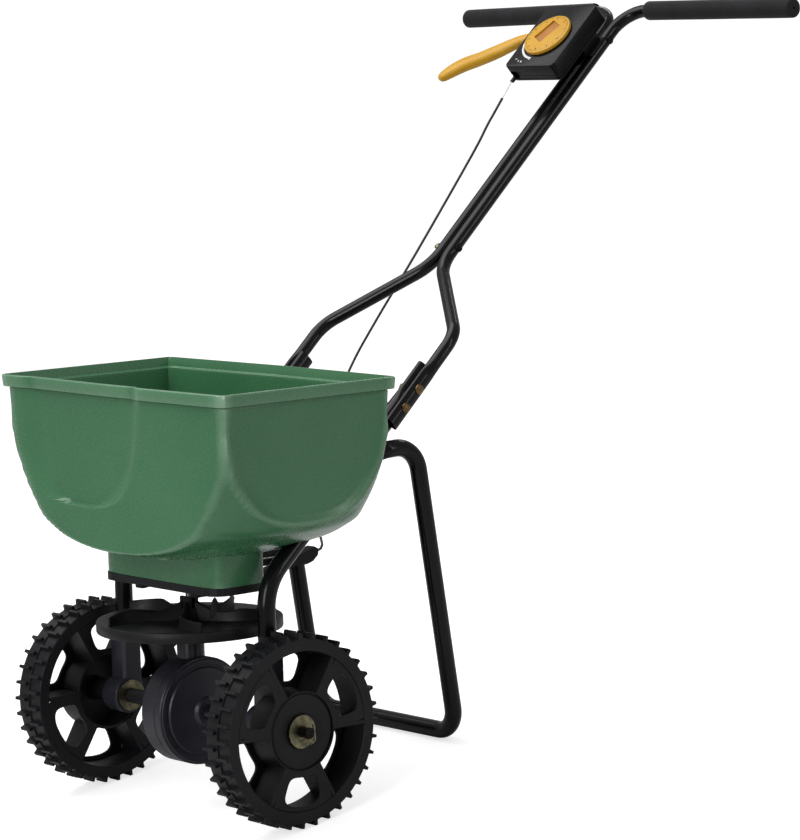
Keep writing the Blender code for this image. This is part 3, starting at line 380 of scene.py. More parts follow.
# Blackened steel: dark oxide left from heat treatment, with a dull metallic sheen on its edges.
blackened_steel = moulded("blackened_steel", "#1B1A1B", "#2A2827", 0.42, 0.08, 1.0, 0.00002,
                          6.0, 1.0)
refinish(blackened_steel, "axle")
refinish(zinc_passivate, "wheel_washer_left", "wheel_washer_right", "block_washer_left",
         "block_washer_right", bevel=0.0003)
for side, label in ((-1, "left"), (1, "right")):
    lo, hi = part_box("axle")
    hub_x = hi.x if side > 0 else lo.x
    bends = [Vector((hub_x - 0.005 * side, 0, 0.0100)), Vector((hub_x - 0.005 * side, 0, -0.0115)),
             Vector((hub_x - 0.0052 * side, 0.0025, -0.0128)),
             Vector((hub_x - 0.0054 * side, 0.0068, -0.0122)),
             Vector((hub_x - 0.0054 * side, 0.0092, -0.0085)),
             Vector((hub_x - 0.0054 * side, 0.0092, 0.0070))]
    pin = smooth_curve([AXLE.to_3x3() @ p + Vector((0, axle_point.y, axle_point.z))
                        for p in bends], 6)
    make("cotter_wire_" + label, along_path(pin, 0.0012, 16, None, (1, 0, 0)), "drive",
         zinc_passivate, 50.0, ("cotter_" + label,))
refinish(black_polypropylene, "wheel_spacer_left", "wheel_spacer_right", "axle_sleeve_left",
         "axle_sleeve_right")

# ================================================================ gear case
# Two black nylon shells screwed together round the bevel gears, with a ribbed post that carries
# the shaft up to the spinning plate and a flat cap on top of it.
# Glass-filled nylon, moulded: blue-black, with a soft sheen and faint flow marks.
filled_nylon = moulded("filled_nylon", "#1F1F26", "#272730", 0.36, 0.07, 2.2, 0.00007, 40.0,
                       Specular_IOR_Level=0.35)
make("gear_shell_right", moved(BODY, turned([
    (0.0068, 0.0300), (0.0068, 0.0192), (0.0560, 0.0192), (0.0560, 0.0086), (0.0618, 0.0086),
    (0.0625, 0.0093), (0.0625, 0.0190), (0.0618, 0.0200), (0.0604, 0.0204), (0.0596, 0.0220),
    (0.0545, 0.0223), (0.0535, 0.0216), (0.0515, 0.0216), (0.0500, 0.0236), (0.0350, 0.0250),
    (0.0210, 0.0262), (0.0185, 0.0270), (0.0168, 0.0305), (0.0155, 0.0316), (0.0080, 0.0318)],
    96, 'X')), "chassis", filled_nylon, 32.0, ("gear_case_right",))
left_shell = turned([
    (0.0068, -0.0196), (0.0068, -0.0165), (0.0560, -0.0165), (0.0560, 0.0079), (0.0618, 0.0079),
    (0.0625, 0.0072), (0.0625, -0.0145), (0.0615, -0.0160), (0.0600, -0.0180), (0.0540, -0.0184),
    (0.0200, -0.0192), (0.0180, -0.0196)], 96, 'X')
post = turned([(0.0150, 0.0560), (0.0150, 0.0575), (0.0045, 0.0576), (0.0045, 0.0812),
               (0.0140, 0.0815), (0.0156, 0.0808), (0.0160, 0.0795), (0.0160, 0.0560)], 80, 'Z',
              flute=lambda a: 1.0 - 0.035 * max(0.0, math.cos(a * 10)) ** 4)
make("gear_shell_left", moved(BODY, merged([left_shell, post])), "chassis",
     filled_nylon, 32.0, ("gear_case_left",))
make("shaft_post_cap", moved(BODY, turned([
    (0.0045, 0.0819), (0.0163, 0.0819), (0.0170, 0.0826), (0.0170, 0.0856), (0.0163, 0.0864),
    (0.0070, 0.0872), (0.0045, 0.0872)], 64, 'Z')), "chassis", filled_nylon,
    32.0, ("shaft_cap",))
for k, (across, depth) in enumerate(((0.0155, -0.0085), (-0.0100, -0.0150))):
    make("case_screw_%d" % (k + 1), moved(BODY, turned([
        (0.0, 0.0), (0.0030, 0.0), (0.0032, 0.0006), (0.0026, 0.0016), (0.0, 0.0019)], 24, 'Z',
        (across, depth, 0.0817), False)), "chassis", zinc_passivate)
refinish(filled_nylon, "drive_gear", "pinion")

# ================================================================ axle blocks
# Square nylon posts, one by each wheel: the axle turns in the round boss, and the frame tube is
# pushed into the socket from above.
refinish(filled_nylon, "axle_block_left", "axle_block_right", bevel=0.0009)

# ================================================================ spinning plate
# A moulded nylon disc with a flat top and a skirt at its edge, a square hub with a forked top, five
# curved fins and one tall leaf that parts the stream. It is pressed on a thin steel shaft.
# Unfilled nylon, moulded: dark grey with a dull satin face and slightly shinier edges.
grey_nylon = moulded("grey_nylon", "#121213", "#1A1A1B", 0.44, 0.07, 1.8, 0.00008, 45.0,
                     Specular_IOR_Level=0.22)
lumps = [turned([
    (0.0044, 0.0885), (0.0140, 0.0885), (0.0150, 0.0892), (0.0160, 0.0985), (0.1050, 0.1015),
    (0.1062, 0.1005), (0.1064, 0.0948), (0.1070, 0.0943), (0.1076, 0.0946), (0.1080, 0.0955),
    (0.1080, 0.1052), (0.1074, 0.1062), (0.1060, 0.1067), (0.1035, 0.1068), (0.1000, 0.1065),
    (0.0600, 0.1054), (0.0200, 0.1045), (0.0150, 0.1062), (0.0115, 0.1110), (0.0100, 0.1180),
    (0.0044, 0.1180)], 128)]
for prong in (-1, 1):
    lumps.append(plate([(0.0085 * x, 0.0048 * prong + 0.0022 * y)
                        for x, y in ((-1, -1), (1, -1), (1, 1), (-1, 1))],
                       0.1150, 0.1318, 0.0006, None, 'Z'))
for k in range(5):
    rings = []
    for i in range(19):
        f = i / 18
        reach = 0.0090 + f * 0.0925
        a = math.radians(18 + 72 * k) + 0.42 * f * f
        wave = math.sin(math.pi * min(1.0, f * 1.6))
        crest = 0.1262 - 0.0095 * f - 0.0075 * wave
        thick = 0.0013 + 0.0010 * (1 - f)
        middle = Vector((reach * math.cos(a), reach * math.sin(a), 0))
        across = Vector((-math.sin(a + 0.4 * f), math.cos(a + 0.4 * f), 0))
        sway = across * 0.0030 * math.sin(2 * math.pi * f)
        ring = []
        for share, height in ((-1.8, 0.1040), (-1.0, 0.1085), (-0.75, crest - 0.0008), (0, crest),
                              (0.75, crest - 0.0008), (1.0, 0.1085), (1.8, 0.1040)):
            lift = Vector((0, 0, height))
            ring.append(middle + across * thick * share + sway * ((height - 0.104) / 0.02) + lift)
        rings.append(ring)
    lumps.append(skin(rings))
leaf = []
for i in range(13):
    f = i / 12
    wide = 0.0066 * math.sqrt(max(0.01, 1 - f ** 3)) * (1 - 0.25 * f)
    thick = 0.0014 * (1 - 0.7 * f)
    leaf.append([Vector((0.0330 + wide * math.cos(2 * math.pi * j / 16) * 0.75,
                         0.0120 + wide * math.cos(2 * math.pi * j / 16) * 0.66
                         + thick * math.sin(2 * math.pi * j / 16), 0.1045 + 0.0275 * f))
                 for j in range(16)])
lumps.append(skin(leaf))
make("spinning_plate", moved(BODY, merged(lumps)), "spinner", grey_nylon, 34.0,
     ("impeller",))
refinish(drawn_steel, "impeller_shaft", "agitator", "lever_pin", "wire_gate")

# ================================================================ frame tubes, stand and handle
# Welded steel tube, bent cold and powder coated: two 21 mm legs, the U of the stand, and two 16 mm
# handle tubes that fork over the hopper and run as a pair up to the grips. Bolted ends are pressed.
# Powder coat: baked black polyester over steel, glossy, with a faint orange peel of about 3 mm, so
# long thin highlights run along each tube.
powder_coat = moulded("powder_coat", "#0A0A0C", "#0E0E11", 0.20, 0.04, 3.0, 0.00001, 80.0,
                      Specular_IOR_Level=0.20, Coat_Weight=0.06, Coat_Roughness=0.10)


def bent(points, radii, steps=12):
    """Straight runs joined by even bends, as a tube bender leaves them."""
    path = [Vector(points[0])]
    for i in range(1, len(points) - 1):
        corner = Vector(points[i])
        behind = (Vector(points[i - 1]) - corner).normalized()
        ahead = (Vector(points[i + 1]) - corner).normalized()
        half = behind.angle(ahead) / 2
        reach = radii[i - 1] / math.tan(half)
        centre = corner + (behind + ahead).normalized() * (radii[i - 1] / math.sin(half))
        start, end = corner + behind * reach - centre, corner + ahead * reach - centre
        for k in range(steps + 1):
            way = start.normalized().slerp(end.normalized(), k / steps)
            path.append(centre + way * start.length)
    return path + [Vector(points[-1])]


def eased(value):
    """From 0 to 1 with a soft start and a soft end, and level outside them."""
    value = min(1.0, max(0.0, value))
    return value * value * (3 - 2 * value)


def pressed(path, reach, blend, across, high):
    """Extra points near the start of a path, and its section there: pressed, then round again."""
    way = (path[1] - path[0]).normalized()
    extra = [path[0] + way * d for d in (0.0015, reach, reach + blend * 0.25, reach + blend * 0.5,
                                         reach + blend * 0.75, reach + blend)]
    new_path = [path[0]] + extra + path[1:]

    def section(i):
        f = eased((i - 2) / 4)
        return (across + (1 - across) * f, high + (1 - high) * f)
    return new_path, section


def both_ends(path, reach, blend, across, high):
    """The same pressing at both ends of a path."""
    first, section = pressed(path, reach, blend, across, high)
    second, _ = pressed(first[::-1], reach, blend, across, high)
    count = len(second)
    return second[::-1], lambda i: section(min(i, count - 1 - i))


FRAME_R, HANDLE_R, STAND_R, WALL = 0.0105, 0.0080, 0.0102, 0.0013
for side, label in ((-1, "left"), (1, "right")):
    leg = bent([(0.1090 * side, 0.2750, 0.3795), (0.1090 * side, 0.2050, 0.3145),
                (0.1350 * side, 0.0060, 0.1580), (0.1350 * side, 0.0060, 0.0240)],
               [0.100, 0.060])
    leg, section = pressed(leg, 0.040, 0.020, 0.62, 1.05)
    make("frame_leg_" + label, along_path(in_space(BODY, leg), FRAME_R, 32, section,
         BODY.to_3x3() @ Vector((0, -0.68, 0.73)), WALL), "chassis", powder_coat,
         40.0, ("frame_tube_" + label,))
    arm = bent([(0.1220 * side, 0.2095, 0.3190), (0.1220 * side, 0.3125, 0.4150),
                (0.0084 * side, 0.3950, 0.4880), (0.0084 * side, 0.7200, 0.7898),
                (0.2860 * side, 0.7220, 0.7868)], [0.045, 0.055, 0.036])
    arm, section = pressed(arm, 0.075, 0.020, 0.66, 1.22)
    make("handle_arm_" + label, along_path(in_space(BODY, arm), HANDLE_R, 32, section,
         BODY.to_3x3() @ Vector((0, -0.68, 0.73)), WALL), "chassis", powder_coat,
         40.0, ("handle_tube_" + label,))
LEG_X, FOOT_Y, FOOT_Z, BEND_Z = 0.1290, 0.2925, -0.0570, 0.2930
bend_y = FOOT_Y - (BEND_Z - FOOT_Z) * math.tan(lean)
loop = bent([(-LEG_X, 0.1620, 0.2900), (-LEG_X, bend_y, BEND_Z), (-LEG_X, FOOT_Y, FOOT_Z),
             (LEG_X, FOOT_Y, FOOT_Z), (LEG_X, bend_y, BEND_Z), (LEG_X, 0.1620, 0.2900)],
            [0.034, 0.032, 0.032, 0.034])
loop, section = both_ends(loop, 0.022, 0.012, 0.48, 1.12)
make("stand_loop", along_path(in_space(BODY, loop), STAND_R, 32, section, (0, 0, 1), WALL),
     "chassis", powder_coat, 40.0, ("stand",))

# ================================================================ bolts and nuts
# Domed carriage bolts and hexagon nuts hold the pressed tube ends together. The two pairs at the
# frame legs are zinc gone brown, and those through the paired tubes are blackened.
# Aged zinc: the same bright coat gone tan, with patchy gloss.
aged_zinc = moulded("aged_zinc", "#8A6D46", "#5F4E3A", 0.40, 0.10, 1.1, 0.00002, 5.0, 1.0)
bolts = [("frame_bolt_%s_%d" % (label, k), way, aged_zinc)
         for label, way in (("left", -1), ("right", 1)) for k in (1, 2)]
bolts += [("stand_bolt_left", -1, zinc_passivate), ("stand_bolt_right", 1, zinc_passivate),
          ("handle_bolt_1", 1, blackened_steel), ("handle_bolt_2", 1, blackened_steel)]
for name, way, finish in bolts:
    lo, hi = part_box(name)
    middle = (lo + hi) / 2
    head = (hi.y - lo.y) / 2
    tip, root = (hi.x, lo.x) if way > 0 else (lo.x, hi.x)
    face = tip - 0.0028 * way
    make(name + "_dome", turned([
        (0.0002, tip), (head * 0.35, tip - 0.0002 * way), (head * 0.62, tip - 0.0007 * way),
        (head * 0.85, tip - 0.0014 * way), (head * 0.97, tip - 0.0021 * way), (head, face),
        (head * 0.45, face), (head * 0.45, root), (0.0002, root)], 32, 'X',
        (0, middle.y, middle.z), False), "chassis", finish, 38.0, (name,))
refinish(zinc_passivate, *["frame_nut_%s_%d" % (label, k) for label in ("left", "right")
                           for k in (1, 2)], "handle_nut_1", "handle_nut_2", bevel=0.0004)

# ================================================================ hopper
# One thin green shell, moulded with a rectangular mouth, a round bowl, and a neck that sits on the
# base plate. Its sides are cut flat as shallow D panels, its front has a sunken shield, and two
# channels at the back let the frame legs pass.
# Polyethylene, moulded: mid green and semi-gloss, with a painted highlight that pales its sharp
# edges. Its tone drifts over 150 mm, and its fine skin, under 1 mm, is drawn at 2.4 mm to show.
green_polyethylene = moulded("green_polyethylene", "#386A47", "#3F704D", 0.27, 0.04, 2.4, 0.00002,
                             150.0, Specular_IOR_Level=0.45, Coat_Weight=0.15,
                             Coat_Roughness=0.16)
# Painted highlight: where the mesh's pointiness marks a sharp edge or crease, the green is mixed
# towards pale mint.
crest = add_node(green_polyethylene, "ShaderNodeNewGeometry")
painted_highlight_share = add_node(green_polyethylene, "ShaderNodeMapRange", {}, {
    "Value": crest.outputs["Pointiness"], "From Min": 0.515, "From Max": 0.60, "To Max": 0.55})
shell_tone = green_polyethylene.node_tree.nodes["Principled BSDF"].inputs["Base Color"]
painted_highlight_tone = add_node(green_polyethylene, "ShaderNodeMix", {"data_type": 'RGBA'}, {
    0: painted_highlight_share.outputs["Result"], 6: shell_tone.links[0].from_socket, 7: colour("#A9C8AE")})
green_polyethylene.node_tree.links.new(painted_highlight_tone.outputs[2], shell_tone)
BANDS = [  # height, half width, half depth and squareness of the bowl
    (0.1740, 0.0300, 0.0200, 2.2), (0.1790, 0.0560, 0.0460, 2.2), (0.1840, 0.0800, 0.0740, 2.2),
    (0.1900, 0.1060, 0.1080, 2.2), (0.1970, 0.1300, 0.1300, 2.3), (0.2050, 0.1530, 0.1440, 2.4),
    (0.2150, 0.1750, 0.1530, 2.4), (0.2250, 0.1940, 0.1570, 2.4), (0.2400, 0.2060, 0.1575, 2.5),
    (0.2550, 0.2130, 0.1575, 2.7), (0.2900, 0.2190, 0.1570, 3.4), (0.3300, 0.2200, 0.1565, 4.5),
    (0.3720, 0.2200, 0.1560, 8.6)]
SIDE_X, FACE_Y, HOPPER_Y, RIM_Z, SHIELD_DEEP = 0.2010, 0.1170, 0.0192, 0.3860, 0.00558
NECK_X, NECK_DEEP, NECK_Y, SHELL = 0.1087, 0.0394, -0.0047, 0.0030
FLARE_X, FLARE_Y = 0.0071, 0.0031


def bowl_sizes(place):
    """Height, half width, half depth and squareness at a place along the list of bands."""
    i = min(int(place), len(BANDS) - 2)
    t = place - i
    before, low, high, after = (BANDS[max(i - 1, 0)], BANDS[i], BANDS[i + 1],
                                BANDS[min(i + 2, len(BANDS) - 1)])
    sizes = []
    for a, b, c, d in zip(before, low, high, after):
        sizes.append(0.5 * (2 * b + (c - a) * t + (2 * a - 5 * b + 4 * c - d) * t * t
                            + (3 * b - a - 3 * c + d) * t ** 3))
    return sizes


def shield(across, height):
    """How far inside the sunken shield of the front wall a spot is, from 0 to 1."""
    drop = min(1.0, max(0.0, (RIM_Z - height) / 0.142))
    half = 0.109 * (1 - drop ** 3.2) ** (1 / 3.2)
    return eased((half - abs(across + 0.056 + 0.10 * (RIM_Z - height))) / 0.011 + 0.3)


def neck_reach(across, along, inset):
    """Distance from the bowl's middle to the neck's wall, in one direction."""
    low, high = 0.0, 0.2
    for _ in range(40):
        r = (low + high) / 2
        x, y = abs(across) * r, abs(along * r + HOPPER_Y - NECK_Y)
        inside = (x / (NECK_X - inset)) ** 7 + (y / (NECK_DEEP - inset)) ** 7 < 1
        low, high = (r, high) if inside else (low, r)
    return low


def hopper_section(height, half_x, half_y, power, inset=0.0, necked=True, grow=0.0, count=208):
    ring = []
    for j in range(count):
        a = 2 * math.pi * (j + 0.5) / count
        c, s = math.cos(a) * SIDE_X, math.sin(a) * FACE_Y
        c, s = c / math.hypot(c, s), s / math.hypot(c, s)
        u, v = max(abs(c), 1e-6), max(abs(s), 1e-6)
        bowl = (abs(u / (half_x - inset)) ** power + abs(v / (half_y - inset)) ** power) \
            ** (-1 / power)
        if necked and height < 0.20:
            bowl = max(bowl, neck_reach(c, s, inset))
        bow = 0.006 * max(0.0, 1 - u / v * FACE_Y / SIDE_X)
        flare = min(1.0, max(0.0, (height - 0.288) / (RIM_Z - 0.288)))
        flat_side = (SIDE_X + FLARE_X * flare - inset) / u
        flat_face = (FACE_Y + FLARE_Y * flare + bow - inset) / v
        r = min(bowl, flat_side, flat_face)
        if height > 0.2:
            gap = bowl - flat_side
            strong = eased((height - 0.205) / 0.03)
            if flat_side < flat_face:
                r -= 0.0022 * eased(gap / 0.007) * strong
            r += 0.0013 * math.exp(-((gap + 0.0015) / 0.0035) ** 2) * strong * \
                (1 if flat_side < flat_face * 1.04 else 0)
            gap_face = bowl - flat_face
            if flat_face < flat_side and s < 0:
                r -= SHIELD_DEEP * shield(r * c, height) * eased(gap_face / 0.016) / v
        ring.append(Vector((r * c, r * s + HOPPER_Y, height)))
        if grow:
            point = ring[-1]
            out = Vector((math.copysign(min(abs(grow), abs(point.x)), point.x),
                          math.copysign(min(abs(grow), abs(point.y - HOPPER_Y)),
                                        point.y - HOPPER_Y), 0))
            ring[-1] = point + (out if grow > 0 else -out)
    return ring


def leg_channel(clear):
    """Upright slot that follows a frame leg, open below, for the channel moulded round it."""
    rings = []
    for x, y, z in ((0.1350, -0.0300, 0.1400), (0.1350, 0.0040, 0.1600), (0.1345, 0.0140, 0.1710),
                    (0.1310, 0.0350, 0.1865), (0.1200, 0.1170, 0.2480), (0.1090, 0.1750, 0.2950)):
        crown, half = z + (FRAME_R + clear) * 1.28, FRAME_R + clear
        rings.append([Vector((x - half, y, 0.10)), Vector((x + half, y, 0.10)),
                      Vector((x + half, y, crown - half * 0.5)),
                      Vector((x + half * 0.7, y, crown - half * 0.15)), Vector((x, y, crown)),
                      Vector((x - half * 0.7, y, crown - half * 0.15)),
                      Vector((x - half, y, crown - half * 0.5))])
    return rings


def solid(mesh_data):
    """A closed working shape, made to be cut or to cut."""
    mesh = bpy.data.meshes.new("cutting_shape")
    mesh.from_pydata(mesh_data[0], [], mesh_data[1])
    work = bmesh.new()
    work.from_mesh(mesh)
    bmesh.ops.recalc_face_normals(work, faces=work.faces)
    work.to_mesh(mesh)
    work.free()
    shape = bpy.data.objects.new("cutting_shape", mesh)
    bpy.context.scene.collection.objects.link(shape)
    return shape


def lists(mesh):
    """A mesh's corners and faces as plain lists."""
    return [v.co.copy() for v in mesh.vertices], [list(face.vertices) for face in mesh.polygons]


def cut(piece, shapes):
    """Takes the shapes out of a piece for good, and removes them."""
    for shape in shapes:
        change = piece.modifiers.new("cut", 'BOOLEAN')
        change.operation = 'DIFFERENCE'
        change.solver = 'EXACT'
        change.object = shape
    baked = bpy.data.meshes.new_from_object(
        piece.evaluated_get(bpy.context.evaluated_depsgraph_get()))
    piece.modifiers.clear()
    piece.data = baked
    for shape in shapes:
        bpy.data.objects.remove(shape, do_unlink=True)
    return piece


last = len(BANDS) - 1
rows = [hopper_section(z, 0.02, 0.02, 2.0) for z in (0.1556, 0.1562, 0.1650, 0.1730)]
rows += [hopper_section(*bowl_sizes(i / 5)) for i in range(1, last * 5)]
top = BANDS[-1]
for height, grow in ((0.3700, 0.0), (0.3712, -0.0007), (0.3718, -0.0007), (0.3720, 0.0040),
                     (0.3723, 0.0048), (0.3730, 0.0051), (0.3838, 0.0055), (0.3850, 0.0052),
                     (0.3857, 0.0046), (0.3860, 0.0036)):
    rows.append(hopper_section(height, *top[1:], 0.0, True, grow))
room = [hopper_section(0.1500, 0.02, 0.02, 2.0, SHELL), hopper_section(0.1790, 0.02, 0.02, 2.0,
                                                                       SHELL)]
for i in range(10, last * 5 - 4):
    sizes = bowl_sizes(i / 5)
    room.append(hopper_section(sizes[0] + 0.0035, *sizes[1:], SHELL))
for height, grow in ((0.3700, 0.0), (0.3735, 0.0), (0.3755, 0.0030), (0.3850, 0.0042),
                     (0.3858, 0.0046), (0.4000, 0.0050)):
    room.append(hopper_section(height, *top[1:], SHELL, True, grow))
hopper_solid, room_solid = solid(skin(rows)), solid(skin(room))
for mirror in (1, -1):
    for owner, clear in ((hopper_solid, 0.0020), (room_solid, 0.0050)):
        rings = [[Vector((p.x * mirror, p.y, p.z)) for p in ring] for ring in leg_channel(clear)]
        cut(owner, [solid(skin(rings))])
cut(hopper_solid, [room_solid])
make("hopper_shell", moved(BODY, lists(hopper_solid.data)), "chassis",
     green_polyethylene, 38.0, ("hopper",))
bpy.data.objects.remove(hopper_solid, do_unlink=True)

# ================================================================ base plate and gate
# A black moulded plate closes the neck. Under it a blackened sheet gate slides in two rails, pulled
# by the cable's wire, and its hooked arm shows behind the right frame leg.
refinish(black_polypropylene, "base_plate", "gate_arm", "gate_post", bevel=0.0008)
refinish(blackened_steel, "gate_plate")

# ================================================================ grips
# Closed-cell foam sleeves, pushed over the ends of the handle tubes and closed at the end.
# Nitrile foam, ground to size: charcoal, quite matte, with 1 mm pores and a little dust-grey bloom.
nitrile_foam = moulded("nitrile_foam", "#141416", "#1B1B1E", 0.80, 0.10, 1.3, 0.00022, 30.0,
                       Sheen_Weight=0.06, Sheen_Roughness=0.5, Specular_IOR_Level=0.2)
for side, label in ((-1, "left"), (1, "right")):
    rings = []
    for radius, x in ((0.0084, 0.0480), (0.0106, 0.0480), (0.0116, 0.0485), (0.0120, 0.0500),
                      (0.0120, 0.0900), (0.0121, 0.1400), (0.0120, 0.2000), (0.0121, 0.2500),
                      (0.0120, 0.2888), (0.0117, 0.2908), (0.0108, 0.2921), (0.0090, 0.2925),
                      (0.0020, 0.2925), (0.0020, 0.2870), (0.0084, 0.2868)):
        f = (x - 0.0084) / (0.2860 - 0.0084)
        spot = Vector((x * side, 0.7200 + 0.0020 * f, 0.7898 - 0.0030 * f))
        rings.append([BODY @ (spot + Vector((0, radius * math.cos(2 * math.pi * j / 48),
                                             radius * math.sin(2 * math.pi * j / 48))))
                      for j in range(48)])
    grip = make("foam_grip_" + label, skin(rings, True), "chassis", nitrile_foam, 50.0,
                ("grip_" + label,))

# ================================================================ control box
# A black ABS cover screwed to a base plate, on a bracket clipped to the paired tubes. The lever
# comes out of a slot in its left side, the cable leaves at its lower left corner.
# ABS, moulded and lightly polished: blue-black satin, so its eased edges catch thin highlights.
black_abs = moulded("black_abs", "#08080B", "#0E0E12", 0.30, 0.06, 2.0, 0.00004, 50.0,
                    Specular_IOR_Level=0.16)


def rounded(x0, x1, y0, y1, radius, steps=8):
    """A rectangle with round corners."""
    outline = []
    for cx, cy, start in ((x1 - radius, y1 - radius, 0), (x0 + radius, y1 - radius, 90),
                          (x0 + radius, y0 + radius, 180), (x1 - radius, y0 + radius, 270)):
        for i in range(steps + 1):
            a = math.radians(start + 90 * i / steps)
            outline.append((cx + radius * math.cos(a), cy + radius * math.sin(a)))
    return outline


BOX_HALF, BOX_LOW, BOX_HIGH, BOX_CORNER = 0.0440, 0.2776, 0.3873, 0.0070


def box_ring(inset, up):
    """The box's outline at one height, drawn in by inset."""
    return [Vector((x, y, up)) for x, y in rounded(
        -BOX_HALF + inset, BOX_HALF - inset, BOX_LOW + inset, BOX_HIGH - inset,
        BOX_CORNER - inset * 0.6)]


cover = solid(skin([box_ring(0.0006, 0.0440), box_ring(0.0, 0.0446), box_ring(0.0, 0.0480),
                    box_ring(0.0005, 0.0484), box_ring(0.0005, 0.0490), box_ring(0.0, 0.0494),
                    box_ring(0.0003, 0.0640), box_ring(0.0008, 0.0650), box_ring(0.0018, 0.0655)]))
cut(cover, [solid(skin([box_ring(0.0025, 0.0400), box_ring(0.0025, 0.0630)])),
            solid(plate([(-0.06, 0.3230), (-0.03, 0.3230), (-0.03, 0.3790), (-0.06, 0.3790)],
                        0.0455, 0.0595, 0.0005, None, 'Z')),
            solid(plate([(-0.0418, 0.26), (-0.0280, 0.26), (-0.0280, 0.30), (-0.0418, 0.30)],
                        0.0430, 0.0565, 0.0003, None, 'Z')),
            solid(turned([(0.0053, 0.05), (0.0053, 0.08)], 48, 'Z', (0, DIAL_ALONG, 0), False))])
make("control_cover", moved(HANDLE, lists(cover.data)), "chassis", black_abs,
     30.0, ("box_cover",))
bpy.data.objects.remove(cover, do_unlink=True)
refinish(black_abs, "box_base", "cable_slider", bevel=0.0005)
refinish(powder_coat, "box_bracket", bevel=0.0008)
# Pad-printed ink: flat white, thinner at its edges, so it looks slightly grey against the black.
white_ink = moulded("white_ink", "#D9D9D6", "#C4C4C0", 0.55, grain_mm=1.0, tone_mm=4.0)
marks = []
for start, stop, inner, outer in ((172, 262, 0.0362, 0.0384), (172, 176, 0.0384, 0.0402),
                                  (258, 262, 0.0384, 0.0402)):
    arc = []
    count = max(3, (stop - start) // 4)
    for i in range(count + 1):
        a = math.radians(start + (stop - start) * i / count)
        swell = 0.0010 * i / count if outer < 0.039 else 0.0
        arc.append([Vector((r * math.cos(a), DIAL_ALONG + r * math.sin(a), h))
                    for r, h in ((inner, 0.06535), (outer + swell, 0.06535),
                                 (outer + swell, 0.06565), (inner, 0.06565))])
    marks.append(skin(arc))
for across, along, wide, tall in ((-0.0300, 0.2905, 0.0030, 0.0012),
                                  (-0.0240, 0.2872, 0.0012, 0.0030),
                                  (-0.0185, 0.2860, 0.0026, 0.0026)):
    mark = [(across + wide / 2 * x, along + tall / 2 * y)
            for x, y in ((-1, -1), (1, -1), (1, 1), (-1, 1))]
    marks.append(plate(mark, 0.06535, 0.06565, 0.0001, None, 'Z'))
make("printed_scale", moved(HANDLE, merged(marks)), "chassis", white_ink)

# ================================================================ setting dial
# A yellow disc turned with the thumb in its slanting pocket. Ticks and plain numbers are moulded
# round its face and inked brown.
# Acetal, coloured through: warm yellow with a waxy satin gloss, a touch of light going into it.
yellow_acetal = moulded("yellow_acetal", "#BC8B1A", "#C49424", 0.38, 0.06, 1.8, 0.00004, 30.0,
                        Specular_IOR_Level=0.3)
# The same acetal in the pocket, polished less, and painted deeper orange as the shade in the
# recess.
pocket_shade_acetal = moulded("pocket_shade_acetal", "#A86A12", "#9A5E0E", 0.48, 0.06, 1.8, 0.00004, 20.0)
# Brown moulding ink, wiped into the figures: dull and slightly uneven.
brown_ink = moulded("brown_ink", "#5A3A10", "#452C0C", 0.60, grain_mm=1.0, tone_mm=3.0)
disc = solid(turned([
    (0.0048, 0.0572), (0.0050, 0.0575), (0.0050, 0.0661), (0.0318, 0.0661), (0.0326, 0.0664),
    (0.0330, 0.0670), (0.0330, 0.0700), (0.0326, 0.0707), (0.0318, 0.0710), (0.0302, 0.0712),
    (0.0002, 0.0712)], 96, 'Z', (0, DIAL_ALONG, 0), False))
slant = Matrix.Translation((-0.0030, DIAL_ALONG + 0.0050, 0)) \
    @ Matrix.Rotation(math.radians(-22), 4, 'Z')
pocket_line = [(-0.0112, -0.0150), (0.0088, -0.0178), (0.0112, 0.0150), (-0.0094, 0.0172)]
cut(disc, [solid(moved(slant, plate(pocket_line, 0.0686, 0.0800, 0.0004, None, 'Z')))])
make("dial_disc", moved(HANDLE, lists(disc.data)), "dial", yellow_acetal, 32.0,
     ("dial",))
bpy.data.objects.remove(disc, do_unlink=True)
# A thin sheet on the pocket's floor carries this painted shade.
floor_line = [(x * 0.96, y * 0.97) for x, y in pocket_line]
make("dial_pocket", moved(HANDLE @ slant, plate(floor_line, 0.0684, 0.0690, 0.0001, None, 'Z')),
     "dial", pocket_shade_acetal)
figures = []
for k in range(60):
    a = math.radians(6 * k)
    inner = 0.0278 if k % 3 == 0 else 0.0290
    wide = 0.00028
    out, across = Vector((math.cos(a), math.sin(a))), Vector((-math.sin(a), math.cos(a)))
    figures.append(moved(Matrix.Translation((0, DIAL_ALONG, 0)), plate(
        [out * inner - across * wide, out * 0.0306 - across * wide, out * 0.0306 + across * wide,
         out * inner + across * wide], 0.0711, 0.0714, 0.00005, None, 'Z')))
for k in range(10):
    a = math.radians(36 * k + 18)
    text = bpy.data.curves.new("figure", 'FONT')
    text.body = str(k + 1)
    text.size = 0.0042
    text.align_x, text.align_y = 'CENTER', 'CENTER'
    text.extrude = 0.00015
    text.resolution_u = 3
    letter = bpy.data.objects.new("figure", text)
    bpy.context.scene.collection.objects.link(letter)
    shape = bpy.data.meshes.new_from_object(
        letter.evaluated_get(bpy.context.evaluated_depsgraph_get()))
    place = Matrix.Translation((0.0262 * math.cos(a), DIAL_ALONG + 0.0262 * math.sin(a), 0.07125)) \
        @ Matrix.Rotation(a - math.pi / 2, 4, 'Z')
    figures.append(moved(place, lists(shape)))
    bpy.data.objects.remove(letter, do_unlink=True)
make("dial_figures", moved(HANDLE, merged(figures)), "dial", brown_ink, 20.0)

